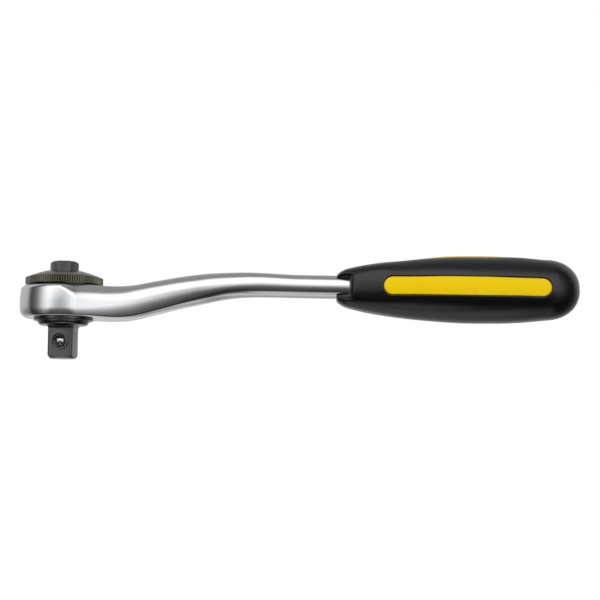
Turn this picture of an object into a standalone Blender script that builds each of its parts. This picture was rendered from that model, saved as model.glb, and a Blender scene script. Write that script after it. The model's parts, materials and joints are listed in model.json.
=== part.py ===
"""Reversible ratchet with a half-inch square drive, a cranked forged shank and a two-colour grip.

The drive axis is Z: the square points down and the reversing disc is on top.
The shank and grip run along +X. The origin is the centre of the square's end face.

How it works: the forged head has internal teeth. The anvil turns inside it and carries two
rocking pawls on pins. A stem in the anvil carries two spring-loaded plungers, one behind each
pawl. Turning the disc swings the stem, and the plungers rock the pawls onto one flank or the other.
"""

import math

import bmesh
import bpy
import numpy as np
from mathutils import Matrix, Vector

MM = 0.001

# Driving dimensions, from the half-inch square drive
SQUARE_SIDE = 12.7 * MM
SQUARE_CORNER = 0.8 * MM
SQUARE_CHAMFER = 1.0 * MM
SQUARE_ROOT_FILLET = 1.9 * MM
DRIVE_TURN = math.radians(-10)

# Head and shank forging
HEAD_RADIUS = 21.8 * MM
HEAD_BOTTOM = 20.2 * MM
HEAD_TOP = 36.0 * MM
HEAD_TOP_ROUND = 2.2 * MM
NECK_FILLET = 150.0 * MM
NECK_HALF_WIDTH = 8.2 * MM
SHANK_RADIUS = 5.8 * MM
SHANK_END = 143.0 * MM
GRIP_AXIS_HEIGHT = 38.1 * MM
SHANK_SHOULDER = 0.2 * MM
TANG_RADIUS = 5.0 * MM
TANG_END = 226.0 * MM

# The cranked neck in side view, against X: its middle height and its half height
NECK_MIDDLE = [
    (14 * MM, (HEAD_BOTTOM + HEAD_TOP) / 2),
    (24 * MM, 27.9 * MM),
    (34 * MM, 28.6 * MM),
    (46 * MM, 31.25 * MM),
    (58 * MM, 33.95 * MM),
    (70 * MM, 36.1 * MM),
    (82 * MM, 37.75 * MM),
    (94 * MM, 38.45 * MM),
    (120 * MM, GRIP_AXIS_HEIGHT),
]
NECK_HALF_HEIGHT = [
    (14 * MM, (HEAD_TOP - HEAD_BOTTOM) / 2),
    (32 * MM, 8.25 * MM),
    (46 * MM, 8.15 * MM),
    (70 * MM, 7.45 * MM),
    (82 * MM, 6.65 * MM),
    (94 * MM, 6.25 * MM),
    (120 * MM, SHANK_RADIUS),
]
NECK_NARROWS = (67 * MM, 100 * MM)
FULLEST_ROUND = 0.97

# The head's lower edge from its wall to its bottom: (in from the wall, up from the bottom)
HEAD_LOWER_EDGE = [
    (0.0, 5.6 * MM),
    (0.25 * MM, 3.4 * MM),
    (0.75 * MM, 1.6 * MM),
    (1.1 * MM, 0.6 * MM),
    (1.7 * MM, 0.0),
]

# Where, along X, the head's upper and lower edges turn into the round of the neck
TOP_EDGE_BLEND = (-4 * MM, 13 * MM)
LOWER_EDGE_BLEND = (52 * MM, 98 * MM)

# Toothed bore of the head
TEETH = 36
TOOTH_TIP_RADIUS = 13.8 * MM
TOOTH_ROOT_RADIUS = 14.8 * MM
TOOTH_FLAT_SHARE = 0.24
TEETH_BOTTOM = 23.2 * MM
TEETH_TOP = 32.2 * MM
WEB_BOTTOM = 33.3 * MM
RING_BORE_RADIUS = 15.1 * MM
TOP_BORE_RADIUS = 9.3 * MM
SEAL_GROOVE = (10.3 * MM, 12.6 * MM, 34.5 * MM)
SEAL_CORD_RADIUS = 0.8 * MM

# Clearances: round a running piece, between faces that meet, and round a fixed pin
FIT = 0.25 * MM
TOUCH = 0.3 * MM
PIN_FIT = 0.1 * MM

# How far a cutter runs past what it cuts
PAST = 3 * MM

# Retaining ring, screwed into the head from below
RING_RADIUS = 14.85 * MM
RING_BOTTOM = 18.7 * MM
RING_TOP = 23.0 * MM
RING_EDGE = 0.6 * MM

# Anvil: square, lower journal, pawl carrier, upper journal
JOURNAL_RADIUS = 12.75 * MM
JOURNAL_BOTTOM = 16.5 * MM
JOURNAL_ROUND = 2.0 * MM
CARRIER_RADIUS = 13.5 * MM
CARRIER_BOTTOM = RING_TOP + TOUCH
CARRIER_TOP = 32.4 * MM
TOP_JOURNAL_RADIUS = 9.0 * MM
TOP_JOURNAL_END = 35.7 * MM
SLOT_HALF_WIDTH = 8.4 * MM
SLOT_BOTTOM = 25.0 * MM
SLOT_TOP = 30.8 * MM

# Waved spring washer between the carrier and the head's web
WASHER_INNER, WASHER_OUTER = 9.6 * MM, 12.8 * MM
WASHER_THICKNESS = 0.3 * MM
WASHER_WAVE = 0.12 * MM
WASHER_WAVES = 3

# Detent ball in the square
BALL_RADIUS = 3.1 * MM
BALL_HEIGHT = 8.5 * MM
BALL_PROUD = 1.1 * MM
BALL_BORE_RADIUS = 3.3 * MM
BALL_MOUTH_RADIUS = 2.85 * MM
BALL_BORE_END = 3.4 * MM
BALL_MOUTH_DEPTH = 0.9 * MM
STAKE_GROOVE = (3.75 * MM, 4.35 * MM, 0.35 * MM)
DETENT_SPRING = {"radius": 1.9 * MM, "wire": 0.25 * MM, "turns": 3}

# Pawls, and how far they and the selector swing
PAWL_SWING = math.radians(11)
SELECTOR_SWING = math.radians(25)
PAWL_PIN_PLACE = 10.4 * MM
PAWL_PIN_RADIUS = 1.25 * MM
PAWL_GAP_ANGLE = math.radians(30)
PAWL_TIP_RADIUS = 14.5 * MM
PAWL_TIP_HALF_WIDTH = 0.3 * MM
PAWL_ROOT_RADIUS = 13.7 * MM
PAWL_ROOT_HALF_WIDTH = 0.75 * MM
PAWL_BACK_RADIUS = 12.7 * MM
PAWL_BACK_ANGLE = math.radians(20)
PAWL_HEEL = [(9.0 * MM, 6.9 * MM), (7.2 * MM, 4.3 * MM)]
PAWL_SADDLE_ANGLE = math.radians(45)
PAWL_PIN_BOTTOM = 24.0 * MM

# Selector stem and its plungers
STEM_RADIUS = 6.0 * MM
STEM_BOTTOM = 24.3 * MM
STEM_TOP = 43.2 * MM
STEM_HALF_FLATS = 4.7 * MM
STEM_FLATS_BOTTOM = 36.0 * MM
PLUNGER_RADIUS = 1.7 * MM
PLUNGER_TIP = 7.6 * MM
PLUNGER_INNER_END = 3.0 * MM
PLUNGER_HEIGHT = (SLOT_BOTTOM + SLOT_TOP) / 2
PLUNGER_SPRING = {"radius": 1.2 * MM, "wire": 0.22 * MM, "turns": 5}

# Reversing disc and the hexagon screw that holds it
DISC_RADIUS = 19.4 * MM
DISC_FOOT_RADIUS = 18.2 * MM
DISC_BOTTOM = 36.3 * MM
DISC_RIM_BOTTOM = 36.8 * MM
DISC_RIM_TOP = 40.3 * MM
DISC_CONE_RADIUS = 8.3 * MM
DISC_SHOULDER = (13.4 * MM, 42.45 * MM)
DISC_TOP = 43.75 * MM
KNURL_GROOVES = 72
KNURL_DEPTH = 0.45 * MM
HEX_FLATS = 13.0 * MM
HEX_TOP = 48.65 * MM
HEX_CHAMFER = 0.75 * MM
SCREW_RADIUS = 3.8 * MM
SCREW_END = 34.2 * MM
STOP_PIN_RADIUS = 0.75 * MM
STOP_PIN_PLACE = 7.6 * MM
STOP_PIN_BOTTOM = 33.3 * MM
STOP_PIN_TOP = 37.6 * MM
STOP_SLOT_TOP = 38.1 * MM

# Grip: outline radius against X, then a round butt that goes on tapering
GRIP_OUTLINE = [
    (136 * MM, 8.35 * MM),
    (148 * MM, 11.3 * MM),
    (164 * MM, 13.95 * MM),
    (180 * MM, 15.7 * MM),
    (196 * MM, 16.68 * MM),
    (212 * MM, 16.82 * MM),
    (227 * MM, 16.55 * MM),
    (242 * MM, 15.2 * MM),
]
BUTT_LENGTH = 15.9 * MM
BUTT_TAPER = 0.09
BUTT_FULLNESS = 2.3
BUTT_LAST_ROW = math.radians(82)
GRIP_TIP = 136.0 * MM
GRIP_SIDE_MOUTH = 142.5 * MM
GRIP_TIP_ROUND = 5.5 * MM
GRIP_SIDE_ROUND = 2.4 * MM
GRIP_MOUTH_RADIUS = SHANK_RADIUS + TOUCH
MOUTH_TURN = (math.radians(33), math.radians(46))
GRIP_JOIN = 152 * MM
GRIP_ROWS = 9
BUTT_ROWS = 5
COVER_WALL = 2.6 * MM
CORE_START = 149.0 * MM
CORE_GAP = 0.15 * MM
WINDOW_START = 159.5 * MM
WINDOW_END = 242.8 * MM
WINDOW_WIDTH = 9.4 * MM
WINDOW_FOOT = 8.5 * MM
WINDOW_TURNS = {"top": math.radians(90), "near": math.radians(180), "far": math.radians(0)}


def clear_scene():
    for obj in list(bpy.data.objects):
        bpy.data.objects.remove(obj, do_unlink=True)


def finish(name, colour, roughness, metallic):
    """A plain Principled material."""
    mat = bpy.data.materials.new(name)
    mat.use_nodes = True
    shader = mat.node_tree.nodes["Principled BSDF"]
    shader.inputs["Base Color"].default_value = (*colour, 1.0)
    shader.inputs["Roughness"].default_value = roughness
    shader.inputs["Metallic"].default_value = metallic
    return mat


def add(name, bm, mat, parent=None, smooth=30):
    """Turns a bmesh into a named object with its material."""
    bmesh.ops.recalc_face_normals(bm, faces=bm.faces)
    mesh = bpy.data.meshes.new(name)
    bm.to_mesh(mesh)
    bm.free()
    mesh.shade_smooth()
    mesh.set_sharp_from_angle(angle=math.radians(smooth))
    obj = bpy.data.objects.new(name, mesh)
    bpy.context.scene.collection.objects.link(obj)
    obj.parent = parent
    if mat:
        mesh.materials.append(mat)
    return obj


def helper(name, bm, parent=None):
    """A cutter or a shape to be joined, which isn't a piece of its own."""
    obj = add(name, bm, None, parent)
    obj.hide_render = True
    obj.display_type = "WIRE"
    return obj


def combine(obj, other, operation="DIFFERENCE"):
    modifier = obj.modifiers.new(f"{operation.lower()}_{other.name}", "BOOLEAN")
    modifier.operation = operation
    modifier.solver = "EXACT"
    modifier.object = other
    return obj


def pivot(name, parent=None, turn=0.0):
    empty = bpy.data.objects.new(name, None)
    bpy.context.scene.collection.objects.link(empty)
    empty.parent = parent
    empty.rotation_euler.z = turn
    return empty


def turned(profile, steps=48, place=None):
    """A profile of (radius, height) points spun about Z, a ring unless it starts on the axis."""
    bm = bmesh.new()
    verts = [bm.verts.new((r, 0, z)) for r, z in profile]
    edges = [bm.edges.new(pair) for pair in zip(verts, verts[1:])]
    if profile[0][0] > 0:
        edges.append(bm.edges.new((verts[-1], verts[0])))
    bmesh.ops.spin(
        bm, geom=verts + edges, cent=(0, 0, 0), axis=(0, 0, 1), angle=math.tau, steps=steps, use_merge=True
    )
    bmesh.ops.remove_doubles(bm, verts=bm.verts, dist=1e-7)
    if place:
        bmesh.ops.transform(bm, matrix=place, verts=bm.verts)
    return bm


def rod(radius, low, high, steps=20, place=None):
    return turned([(0, low), (radius, low), (radius, high), (0, high)], steps, place)


def prism(outline, bottom, top):
    """A flat outline of (x, y) points, extruded upwards."""
    bm = bmesh.new()
    face = bm.faces.new([bm.verts.new((x, y, bottom)) for x, y in outline])
    raised = bmesh.ops.extrude_face_region(bm, geom=[face])["geom"]
    verts = [part for part in raised if isinstance(part, bmesh.types.BMVert)]
    bmesh.ops.translate(bm, vec=(0, 0, top - bottom), verts=verts)
    return bm


def box(low, high):
    outline = [(low[0], low[1]), (high[0], low[1]), (high[0], high[1]), (low[0], high[1])]
    return prism(outline, low[2], high[2])


def loft(rings, closed_ends=True):
    """Rings of points with the same count, joined in order. End rings are filled."""
    bm = bmesh.new()
    loops = [[bm.verts.new(point) for point in ring] for ring in rings]
    for lower, upper in zip(loops, loops[1:]):
        for k in range(len(lower)):
            following = (k + 1) % len(lower)
            bm.faces.new((lower[k], lower[following], upper[following], upper[k]))
    if closed_ends:
        bm.faces.new(loops[0])
        bm.faces.new(loops[-1])
    return bm


def arc(centre, radius, start, end, count):
    """Points on a round stretch, both ends included."""
    angles = np.linspace(start, end, count)
    return [(centre[0] + radius * math.cos(a), centre[1] + radius * math.sin(a)) for a in angles]


def ease(value, start, end):
    """0 before start, 1 after end, and smooth between."""
    t = min(1.0, max(0.0, (value - start) / (end - start)))
    return t * t * (3 - 2 * t)


def smooth_curve(points, x):
    """The height at x of a smooth curve through the points, level beyond both ends."""
    if x <= points[0][0]:
        return points[0][1]
    if x >= points[-1][0]:
        return points[-1][1]
    k = max(i for i, point in enumerate(points) if point[0] <= x)
    (x0, y0), (x1, y1) = points[k], points[k + 1]

    def slope(i):
        low, high = points[max(i - 1, 0)], points[min(i + 1, len(points) - 1)]
        return (high[1] - low[1]) / (high[0] - low[0])

    span, t = x1 - x0, (x - x0) / (x1 - x0)
    ends = (1 + 2 * t) * (1 - t) ** 2 * y0 + t * t * (3 - 2 * t) * y1
    leans = t * (1 - t) ** 2 * slope(k) - t * t * (1 - t) * slope(k + 1)
    return ends + span * leans


# The forging

def neck_half_width(x):
    return NECK_HALF_WIDTH + (SHANK_RADIUS - NECK_HALF_WIDTH) * ease(x, *NECK_NARROWS)


def half_section(inner, outer, tang=False):
    """Half of a rounded cross-section in the upright plane from inner to outer, from top to bottom."""
    inner, outer = Vector(inner), Vector(outer)
    width = (outer - inner).length
    half = TANG_RADIUS if tang else smooth_curve(NECK_HALF_HEIGHT, outer.x)
    fullest = FULLEST_ROUND * min(width, half)
    top_round = fullest
    roundness = 1.0
    if not tang:
        top_round = HEAD_TOP_ROUND + (fullest - HEAD_TOP_ROUND) * ease(outer.x, *TOP_EDGE_BLEND)
        roundness = ease(outer.x, *LOWER_EDGE_BLEND)
    flat = [(0.0, half)]
    flat += arc((width - top_round, half - top_round), top_round, math.pi / 2, 0, 5)
    round_edge = arc((width - fullest, fullest - half), fullest, 0, -math.pi / 2, len(HEAD_LOWER_EDGE))
    for (back, rise), spot in zip(HEAD_LOWER_EDGE, round_edge):
        flat.append(Vector((width - back, rise - half)).lerp(Vector(spot), roundness))
    flat += [(0.0, -half)]
    points = []
    for across, up in flat:
        place = inner + (outer - inner) * (across / width)
        points.append((place.x, place.y, smooth_curve(NECK_MIDDLE, place.x) + up))
    return points


def forging_plan():
    """Columns (inner point, outer point, tang) down one side, round the head and back."""
    reach = HEAD_RADIUS + NECK_FILLET
    fillet_y = NECK_HALF_WIDTH + NECK_FILLET
    fillet_x = math.sqrt(reach**2 - fillet_y**2)
    meeting = math.atan2(fillet_y, fillet_x)
    side = [((x, 0), (x, TANG_RADIUS), True) for x in (TANG_END, SHANK_END)]
    for x in np.linspace(SHANK_END - SHANK_SHOULDER, fillet_x, 16):
        side.append(((x, 0), (x, neck_half_width(x)), False))
    for x, y in arc((fillet_x, fillet_y), NECK_FILLET, -math.pi / 2, meeting - math.pi, 11)[1:-1]:
        side.append(((x, 0), (x, y), False))
    head = [((0, 0), point, False) for point in arc((0, 0), HEAD_RADIUS, meeting, math.tau - meeting, 43)]
    mirrored = [((ix, -iy), (ox, -oy), tang) for (ix, iy), (ox, oy), tang in reversed(side)]
    return side + head + mirrored


def forging_blank():
    """The forging before it is bored: one half section per column, joined round the outline."""
    bm = bmesh.new()
    columns = [[bm.verts.new(p) for p in half_section(*column)] for column in forging_plan()]
    for one, other in zip(columns, columns[1:]):
        for k in range(len(one) - 1):
            bm.faces.new((one[k], one[k + 1], other[k + 1], other[k]))
    bmesh.ops.remove_doubles(bm, verts=bm.verts, dist=1e-7)
    rim = [edge for edge in bm.edges if edge.is_boundary]
    bmesh.ops.holes_fill(bm, edges=rim, sides=0)
    return bm


def tooth_outline():
    """The toothed bore seen from above: gaps centred on the drive's rest angle."""
    pitch = math.tau / TEETH
    flat = TOOTH_FLAT_SHARE * pitch / 2
    points = []
    for k in range(TEETH):
        gap, tip = k * pitch + DRIVE_TURN, (k + 0.5) * pitch + DRIVE_TURN
        for radius, angle in (
            (TOOTH_ROOT_RADIUS, gap - flat),
            (TOOTH_ROOT_RADIUS, gap + flat),
            (TOOTH_TIP_RADIUS, tip - flat),
            (TOOTH_TIP_RADIUS, tip + flat),
        ):
            points.append((radius * math.cos(angle), radius * math.sin(angle)))
    return points


def make_ratchet_body(mat):
    body = add("ratchet_body", forging_blank(), mat)
    below, above = HEAD_BOTTOM - PAST, HEAD_TOP + PAST
    overlap = TOUCH
    teeth = prism(tooth_outline(), TEETH_BOTTOM - overlap, TEETH_TOP + overlap)
    combine(body, helper("tooth_cutter", teeth))
    combine(body, helper("ring_bore_cutter", rod(RING_BORE_RADIUS, below, TEETH_BOTTOM, 48)))
    relief = TOOTH_ROOT_RADIUS + overlap
    top_bore = [
        (0, TEETH_TOP),
        (relief, TEETH_TOP),
        (relief, WEB_BOTTOM),
        (TOP_BORE_RADIUS, WEB_BOTTOM),
        (TOP_BORE_RADIUS, above),
        (0, above),
    ]
    combine(body, helper("top_bore_cutter", turned(top_bore)))
    inner, outer, floor = SEAL_GROOVE
    groove = [(inner, floor), (outer, floor), (outer, above), (inner, above)]
    combine(body, helper("seal_groove_cutter", turned(groove)))


def make_retaining_ring(mat):
    inner = JOURNAL_RADIUS + FIT
    profile = [
        (inner, RING_TOP),
        (inner, RING_BOTTOM + RING_EDGE / 2),
        (inner + RING_EDGE / 2, RING_BOTTOM),
        (RING_RADIUS - RING_EDGE, RING_BOTTOM),
        (RING_RADIUS, RING_BOTTOM + RING_EDGE),
        (RING_RADIUS, RING_TOP),
    ]
    add("retaining_ring", turned(profile, 56), mat)


def make_dust_seal(mat):
    inner, outer, floor = SEAL_GROOVE
    middle = ((inner + outer) / 2, floor + SEAL_CORD_RADIUS + PIN_FIT / 2)
    sides = 8
    cord = arc(middle, SEAL_CORD_RADIUS, 0, math.tau * (sides - 1) / sides, sides)
    add("dust_seal", turned(cord, 40), mat)


def make_friction_washer(mat):
    middle = (CARRIER_TOP + WEB_BOTTOM) / 2
    low, high = middle - WASHER_THICKNESS / 2, middle + WASHER_THICKNESS / 2
    section = [(WASHER_INNER, low), (WASHER_OUTER, low), (WASHER_OUTER, high), (WASHER_INNER, high)]
    steps = 48
    angles = [math.tau * k / steps for k in range(steps)]
    rings = []
    for r, height in section + section[:1]:
        lift = [height + WASHER_WAVE * math.cos(WASHER_WAVES * a) for a in angles]
        rings.append([(r * math.cos(a), r * math.sin(a), z) for a, z in zip(angles, lift)])
    bm = loft(rings, closed_ends=False)
    bmesh.ops.remove_doubles(bm, verts=bm.verts, dist=1e-7)
    add("friction_washer", bm, mat)


# The drive

def square_ring(half, height):
    """A square with rounded corners, three points to a corner."""
    corner = SQUARE_CORNER
    points = []
    for k in range(4):
        middle = math.radians(45) + k * math.pi / 2
        reach = (half - corner) * math.sqrt(2)
        centre = (reach * math.cos(middle), reach * math.sin(middle))
        round_points = arc(centre, corner, middle - math.pi / 4, middle + math.pi / 4, 3)
        points += [(x, y, height) for x, y in round_points]
    return points


def square_stem():
    """The square with its chamfered end, and the fillet that runs out into the journal."""
    half = SQUARE_SIDE / 2
    rings = [square_ring(half - SQUARE_CHAMFER, 0), square_ring(half, SQUARE_CHAMFER)]
    centre = (half + SQUARE_ROOT_FILLET, JOURNAL_BOTTOM - SQUARE_ROOT_FILLET)
    for reach, height in arc(centre, SQUARE_ROOT_FILLET, math.pi, math.pi * 0.6, 4):
        rings.append(square_ring(reach, height))
    rings.append(square_ring(reach, JOURNAL_BOTTOM + MM))
    return loft(rings)


def ball_centre():
    return -(SQUARE_SIDE / 2 + BALL_PROUD - BALL_RADIUS)


def make_drive_anvil(mat, drive):
    round_centre = (JOURNAL_RADIUS - JOURNAL_ROUND, JOURNAL_BOTTOM + JOURNAL_ROUND)
    profile = [(0, JOURNAL_BOTTOM)]
    profile += arc(round_centre, JOURNAL_ROUND, -math.pi / 2, 0, 4)
    profile += [
        (JOURNAL_RADIUS, CARRIER_BOTTOM),
        (CARRIER_RADIUS, CARRIER_BOTTOM),
        (CARRIER_RADIUS, CARRIER_TOP),
        (TOP_JOURNAL_RADIUS, CARRIER_TOP),
        (TOP_JOURNAL_RADIUS, TOP_JOURNAL_END),
        (0, TOP_JOURNAL_END),
    ]
    anvil = add("drive_anvil", turned(profile, 56), mat, drive)
    combine(anvil, helper("square_shape", square_stem(), drive), "UNION")
    reach = 2 * CARRIER_RADIUS
    slot = box((-reach, -SLOT_HALF_WIDTH, SLOT_BOTTOM), (reach, SLOT_HALF_WIDTH, SLOT_TOP))
    combine(anvil, helper("pawl_slot_cutter", slot, drive))
    above = TOP_JOURNAL_END + PAST
    stem_bore = rod(STEM_RADIUS + FIT, STEM_BOTTOM - TOUCH, above, 40)
    combine(anvil, helper("stem_bore_cutter", stem_bore, drive))
    for name, side in (("front", -1), ("rear", 1)):
        place = Matrix.Translation((side * PAWL_PIN_PLACE, 0, 0))
        pin_hole = rod(PAWL_PIN_RADIUS + PIN_FIT, PAWL_PIN_BOTTOM - TOUCH, above, 16, place)
        combine(anvil, helper(f"pin_hole_cutter_{name}", pin_hole, drive))
    place = Matrix.Translation((0, STOP_PIN_PLACE, 0))
    stop_hole = rod(STOP_PIN_RADIUS + PIN_FIT, STOP_PIN_BOTTOM - TOUCH, above, 12, place)
    combine(anvil, helper("stop_hole_cutter", stop_hole, drive))
    combine(anvil, helper("ball_bore_cutter", ball_bore(), drive))
    combine(anvil, helper("stake_groove_cutter", stake_groove(), drive))


def facing_front(height):
    """Turns a shape's Z axis to face the front, -Y, at this height."""
    return Matrix.Translation((0, 0, height)) @ Matrix.Rotation(math.pi / 2, 4, "X")


def ball_bore():
    """The ball's bore, drawn in at its mouth so that the ball can't fall out."""
    face = SQUARE_SIDE / 2
    profile = [
        (0, -BALL_BORE_END),
        (BALL_BORE_RADIUS, -BALL_BORE_END),
        (BALL_BORE_RADIUS, face - BALL_MOUTH_DEPTH),
        (BALL_MOUTH_RADIUS, face),
        (BALL_MOUTH_RADIUS, face + MM),
        (0, face + MM),
    ]
    return turned(profile, 28, facing_front(BALL_HEIGHT))


def stake_groove():
    inner, outer, depth = STAKE_GROOVE
    face = SQUARE_SIDE / 2
    profile = [(inner, face - depth), (outer, face - depth), (outer, face + depth), (inner, face + depth)]
    return turned(profile, 28, facing_front(BALL_HEIGHT))


def make_detent_ball(mat, drive):
    bm = bmesh.new()
    bmesh.ops.create_uvsphere(bm, u_segments=20, v_segments=12, radius=BALL_RADIUS)
    ball = add("detent_ball", bm, mat, drive, smooth=60)
    ball.location = (0, ball_centre(), BALL_HEIGHT)


def coil(name, mat, parent, place, length, radius, wire, turns):
    """A compression spring along Z of its own frame, as one helix of wire."""
    per_turn = 10
    count = turns * per_turn + 1
    points = []
    for k in range(count):
        angle = math.tau * k / per_turn
        points.append(Vector((radius * math.cos(angle), radius * math.sin(angle), length * k / (count - 1))))
    gap = min(
        (one - other).length - 2 * wire
        for k, one in enumerate(points)
        for other in points[k + per_turn // 2 :]
    )
    print(f"{name}: least gap between turns {gap / MM:.2f} mm")
    curve = bpy.data.curves.new(name, "CURVE")
    curve.dimensions = "3D"
    curve.bevel_depth = wire
    curve.bevel_resolution = 1
    curve.use_fill_caps = True
    spline = curve.splines.new("POLY")
    spline.points.add(count - 1)
    for point, co in zip(spline.points, points):
        point.co = (*co, 1)
    curve.materials.append(mat)
    obj = bpy.data.objects.new(name, curve)
    bpy.context.scene.collection.objects.link(obj)
    obj.parent = parent
    obj.matrix_basis = place


def make_detent_spring(mat, drive):
    clear = TOUCH + DETENT_SPRING["wire"]
    back = ball_centre() + BALL_RADIUS + clear
    place = Matrix.Translation((0, back, BALL_HEIGHT)) @ Matrix.Rotation(-math.pi / 2, 4, "X")
    coil("detent_spring", mat, drive, place, BALL_BORE_END - clear - back, **DETENT_SPRING)


def turn_about_pin(point, angle):
    """A point of the pawl, turned about its pin."""
    dx, dy = point[0] - PAWL_PIN_PLACE, point[1]
    c, s = math.cos(angle), math.sin(angle)
    return (PAWL_PIN_PLACE + c * dx - s * dy, s * dx + c * dy)


def pawl_tip(radius, offset):
    """A corner of the nose, placed in its tooth gap and turned back to the neutral pose."""
    angle = PAWL_GAP_ANGLE + math.asin(offset / radius)
    return turn_about_pin((radius * math.cos(angle), radius * math.sin(angle)), PAWL_SWING)


def pawl_outline():
    """One rocking pawl from above: a nose at each end and a saddle for the plunger, its pin at the origin."""
    plunger_centre = PLUNGER_TIP - PLUNGER_RADIUS
    swung = (plunger_centre * math.cos(SELECTOR_SWING), plunger_centre * math.sin(SELECTOR_SWING))
    x, y = turn_about_pin(swung, PAWL_SWING)
    path_radius = (y**2 + (plunger_centre - x) ** 2) / (2 * (plunger_centre - x))
    saddle_centre = (plunger_centre - path_radius, 0)
    saddle_radius = path_radius + PLUNGER_RADIUS + TOUCH
    saddle = arc(saddle_centre, saddle_radius, 0, PAWL_SADDLE_ANGLE, 5)
    upper = arc((0, 0), PAWL_BACK_RADIUS, 0, PAWL_BACK_ANGLE, 4)
    upper += [
        pawl_tip(PAWL_ROOT_RADIUS, -PAWL_ROOT_HALF_WIDTH),
        pawl_tip(PAWL_TIP_RADIUS, -PAWL_TIP_HALF_WIDTH),
        pawl_tip(PAWL_TIP_RADIUS, PAWL_TIP_HALF_WIDTH),
        pawl_tip(PAWL_ROOT_RADIUS, PAWL_ROOT_HALF_WIDTH),
        *PAWL_HEEL,
        *reversed(saddle),
    ]
    lower = [(px, -py) for px, py in reversed(upper[1:-1])]
    return [(px - PAWL_PIN_PLACE, py) for px, py in upper + lower]


def make_pawls(mat, drive):
    for name, turn in (("front", math.pi), ("rear", 0.0)):
        place = Vector((PAWL_PIN_PLACE * math.cos(turn), PAWL_PIN_PLACE * math.sin(turn), 0))
        rocker = prism(pawl_outline(), SLOT_BOTTOM + TOUCH, SLOT_TOP - TOUCH)
        pawl = add(f"pawl_{name}", rocker, mat, drive)
        pawl.location = place
        pawl.rotation_euler.z = turn
        hole = rod(PAWL_PIN_RADIUS + 2 * PIN_FIT, SLOT_BOTTOM, SLOT_TOP)
        combine(pawl, helper(f"pawl_hole_cutter_{name}", hole, pawl))
        pin = rod(PAWL_PIN_RADIUS, PAWL_PIN_BOTTOM, CARRIER_TOP - PIN_FIT, 16)
        add(f"pawl_pin_{name}", pin, mat, drive).location = place


def make_stop_pin(mat, drive):
    pin = add("stop_pin", rod(STOP_PIN_RADIUS, STOP_PIN_BOTTOM, STOP_PIN_TOP, 12), mat, drive)
    pin.location = (0, STOP_PIN_PLACE, 0)


# The selector

def double_d(half_flats, radius):
    """A round with two flats, the flats facing front and back."""
    angle = math.asin(half_flats / radius)
    right = arc((0, 0), radius, -angle, angle, 9)
    left = arc((0, 0), radius, math.pi - angle, math.pi + angle, 9)
    return right + left


def along_x(height):
    """Turns a shape's Z axis to run along X at this height."""
    return Matrix.Translation((0, 0, height)) @ Matrix.Rotation(math.pi / 2, 4, "Y")


def make_selector_stem(mat, selector):
    stem = add("selector_stem", rod(STEM_RADIUS, STEM_BOTTOM, STEM_FLATS_BOTTOM, 40), mat, selector)
    key = prism(double_d(STEM_HALF_FLATS, STEM_RADIUS - PIN_FIT / 2), STEM_FLATS_BOTTOM - MM, STEM_TOP)
    combine(stem, helper("stem_key", key, selector), "UNION")
    screw_hole = rod(SCREW_RADIUS + FIT, SCREW_END - TOUCH, STEM_TOP + PAST, 28)
    combine(stem, helper("screw_hole_cutter", screw_hole, selector))
    reach = STEM_RADIUS + PAST
    plunger_hole = rod(PLUNGER_RADIUS + FIT, -reach, reach, place=along_x(PLUNGER_HEIGHT))
    combine(stem, helper("plunger_hole_cutter", plunger_hole, selector))


def make_plungers(mat, selector):
    centre = PLUNGER_TIP - PLUNGER_RADIUS
    profile = [(0, PLUNGER_INNER_END), (PLUNGER_RADIUS, PLUNGER_INNER_END)]
    profile += arc((0, centre), PLUNGER_RADIUS, 0, math.pi / 2, 6)
    profile[-1] = (0, PLUNGER_TIP)
    for name, turn in (("front", math.pi), ("rear", 0.0)):
        plunger = add(f"plunger_{name}", turned(profile, 16), mat, selector, smooth=50)
        plunger.location.z = PLUNGER_HEIGHT
        plunger.rotation_euler = (0, math.pi / 2, turn)
    end = PLUNGER_INNER_END - TOUCH - PLUNGER_SPRING["wire"]
    place = along_x(PLUNGER_HEIGHT) @ Matrix.Translation((0, 0, -end))
    coil("plunger_spring", mat, selector, place, 2 * end, **PLUNGER_SPRING)


def make_reversing_disc(mat, selector):
    steps = 2 * KNURL_GROOVES
    rings = []
    for r, z, knurled in (
        (DISC_FOOT_RADIUS, DISC_BOTTOM, False),
        (DISC_RADIUS - KNURL_DEPTH, DISC_RIM_BOTTOM, False),
        (DISC_RADIUS, DISC_RIM_BOTTOM, True),
        (DISC_RADIUS, DISC_RIM_TOP, True),
        (*DISC_SHOULDER, False),
        (DISC_CONE_RADIUS, DISC_TOP, False),
    ):
        radii = [r - KNURL_DEPTH * (knurled and k % 2) for k in range(steps)]
        angles = [math.tau * k / steps for k in range(steps)]
        rings.append([(p * math.cos(a), p * math.sin(a), z) for p, a in zip(radii, angles)])
    bm = loft(rings)
    bmesh.ops.remove_doubles(bm, verts=bm.verts, dist=1e-7)
    disc = add("reversing_disc", bm, mat, selector, smooth=15)
    below, above = DISC_BOTTOM - PAST, DISC_TOP + PAST
    key_hole = prism(double_d(STEM_HALF_FLATS + FIT, STEM_RADIUS + FIT), below, above)
    combine(disc, helper("disc_key_cutter", key_hole, selector))
    half_width = STOP_PIN_RADIUS + TOUCH
    swing = SELECTOR_SWING + half_width / STOP_PIN_PLACE
    middle = math.pi / 2
    outline = arc((0, 0), STOP_PIN_PLACE + half_width, middle - swing, middle + swing, 10)
    outline += arc((0, 0), STOP_PIN_PLACE - half_width, middle + swing, middle - swing, 10)
    combine(disc, helper("stop_slot_cutter", prism(outline, below, STOP_SLOT_TOP), selector))


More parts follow.
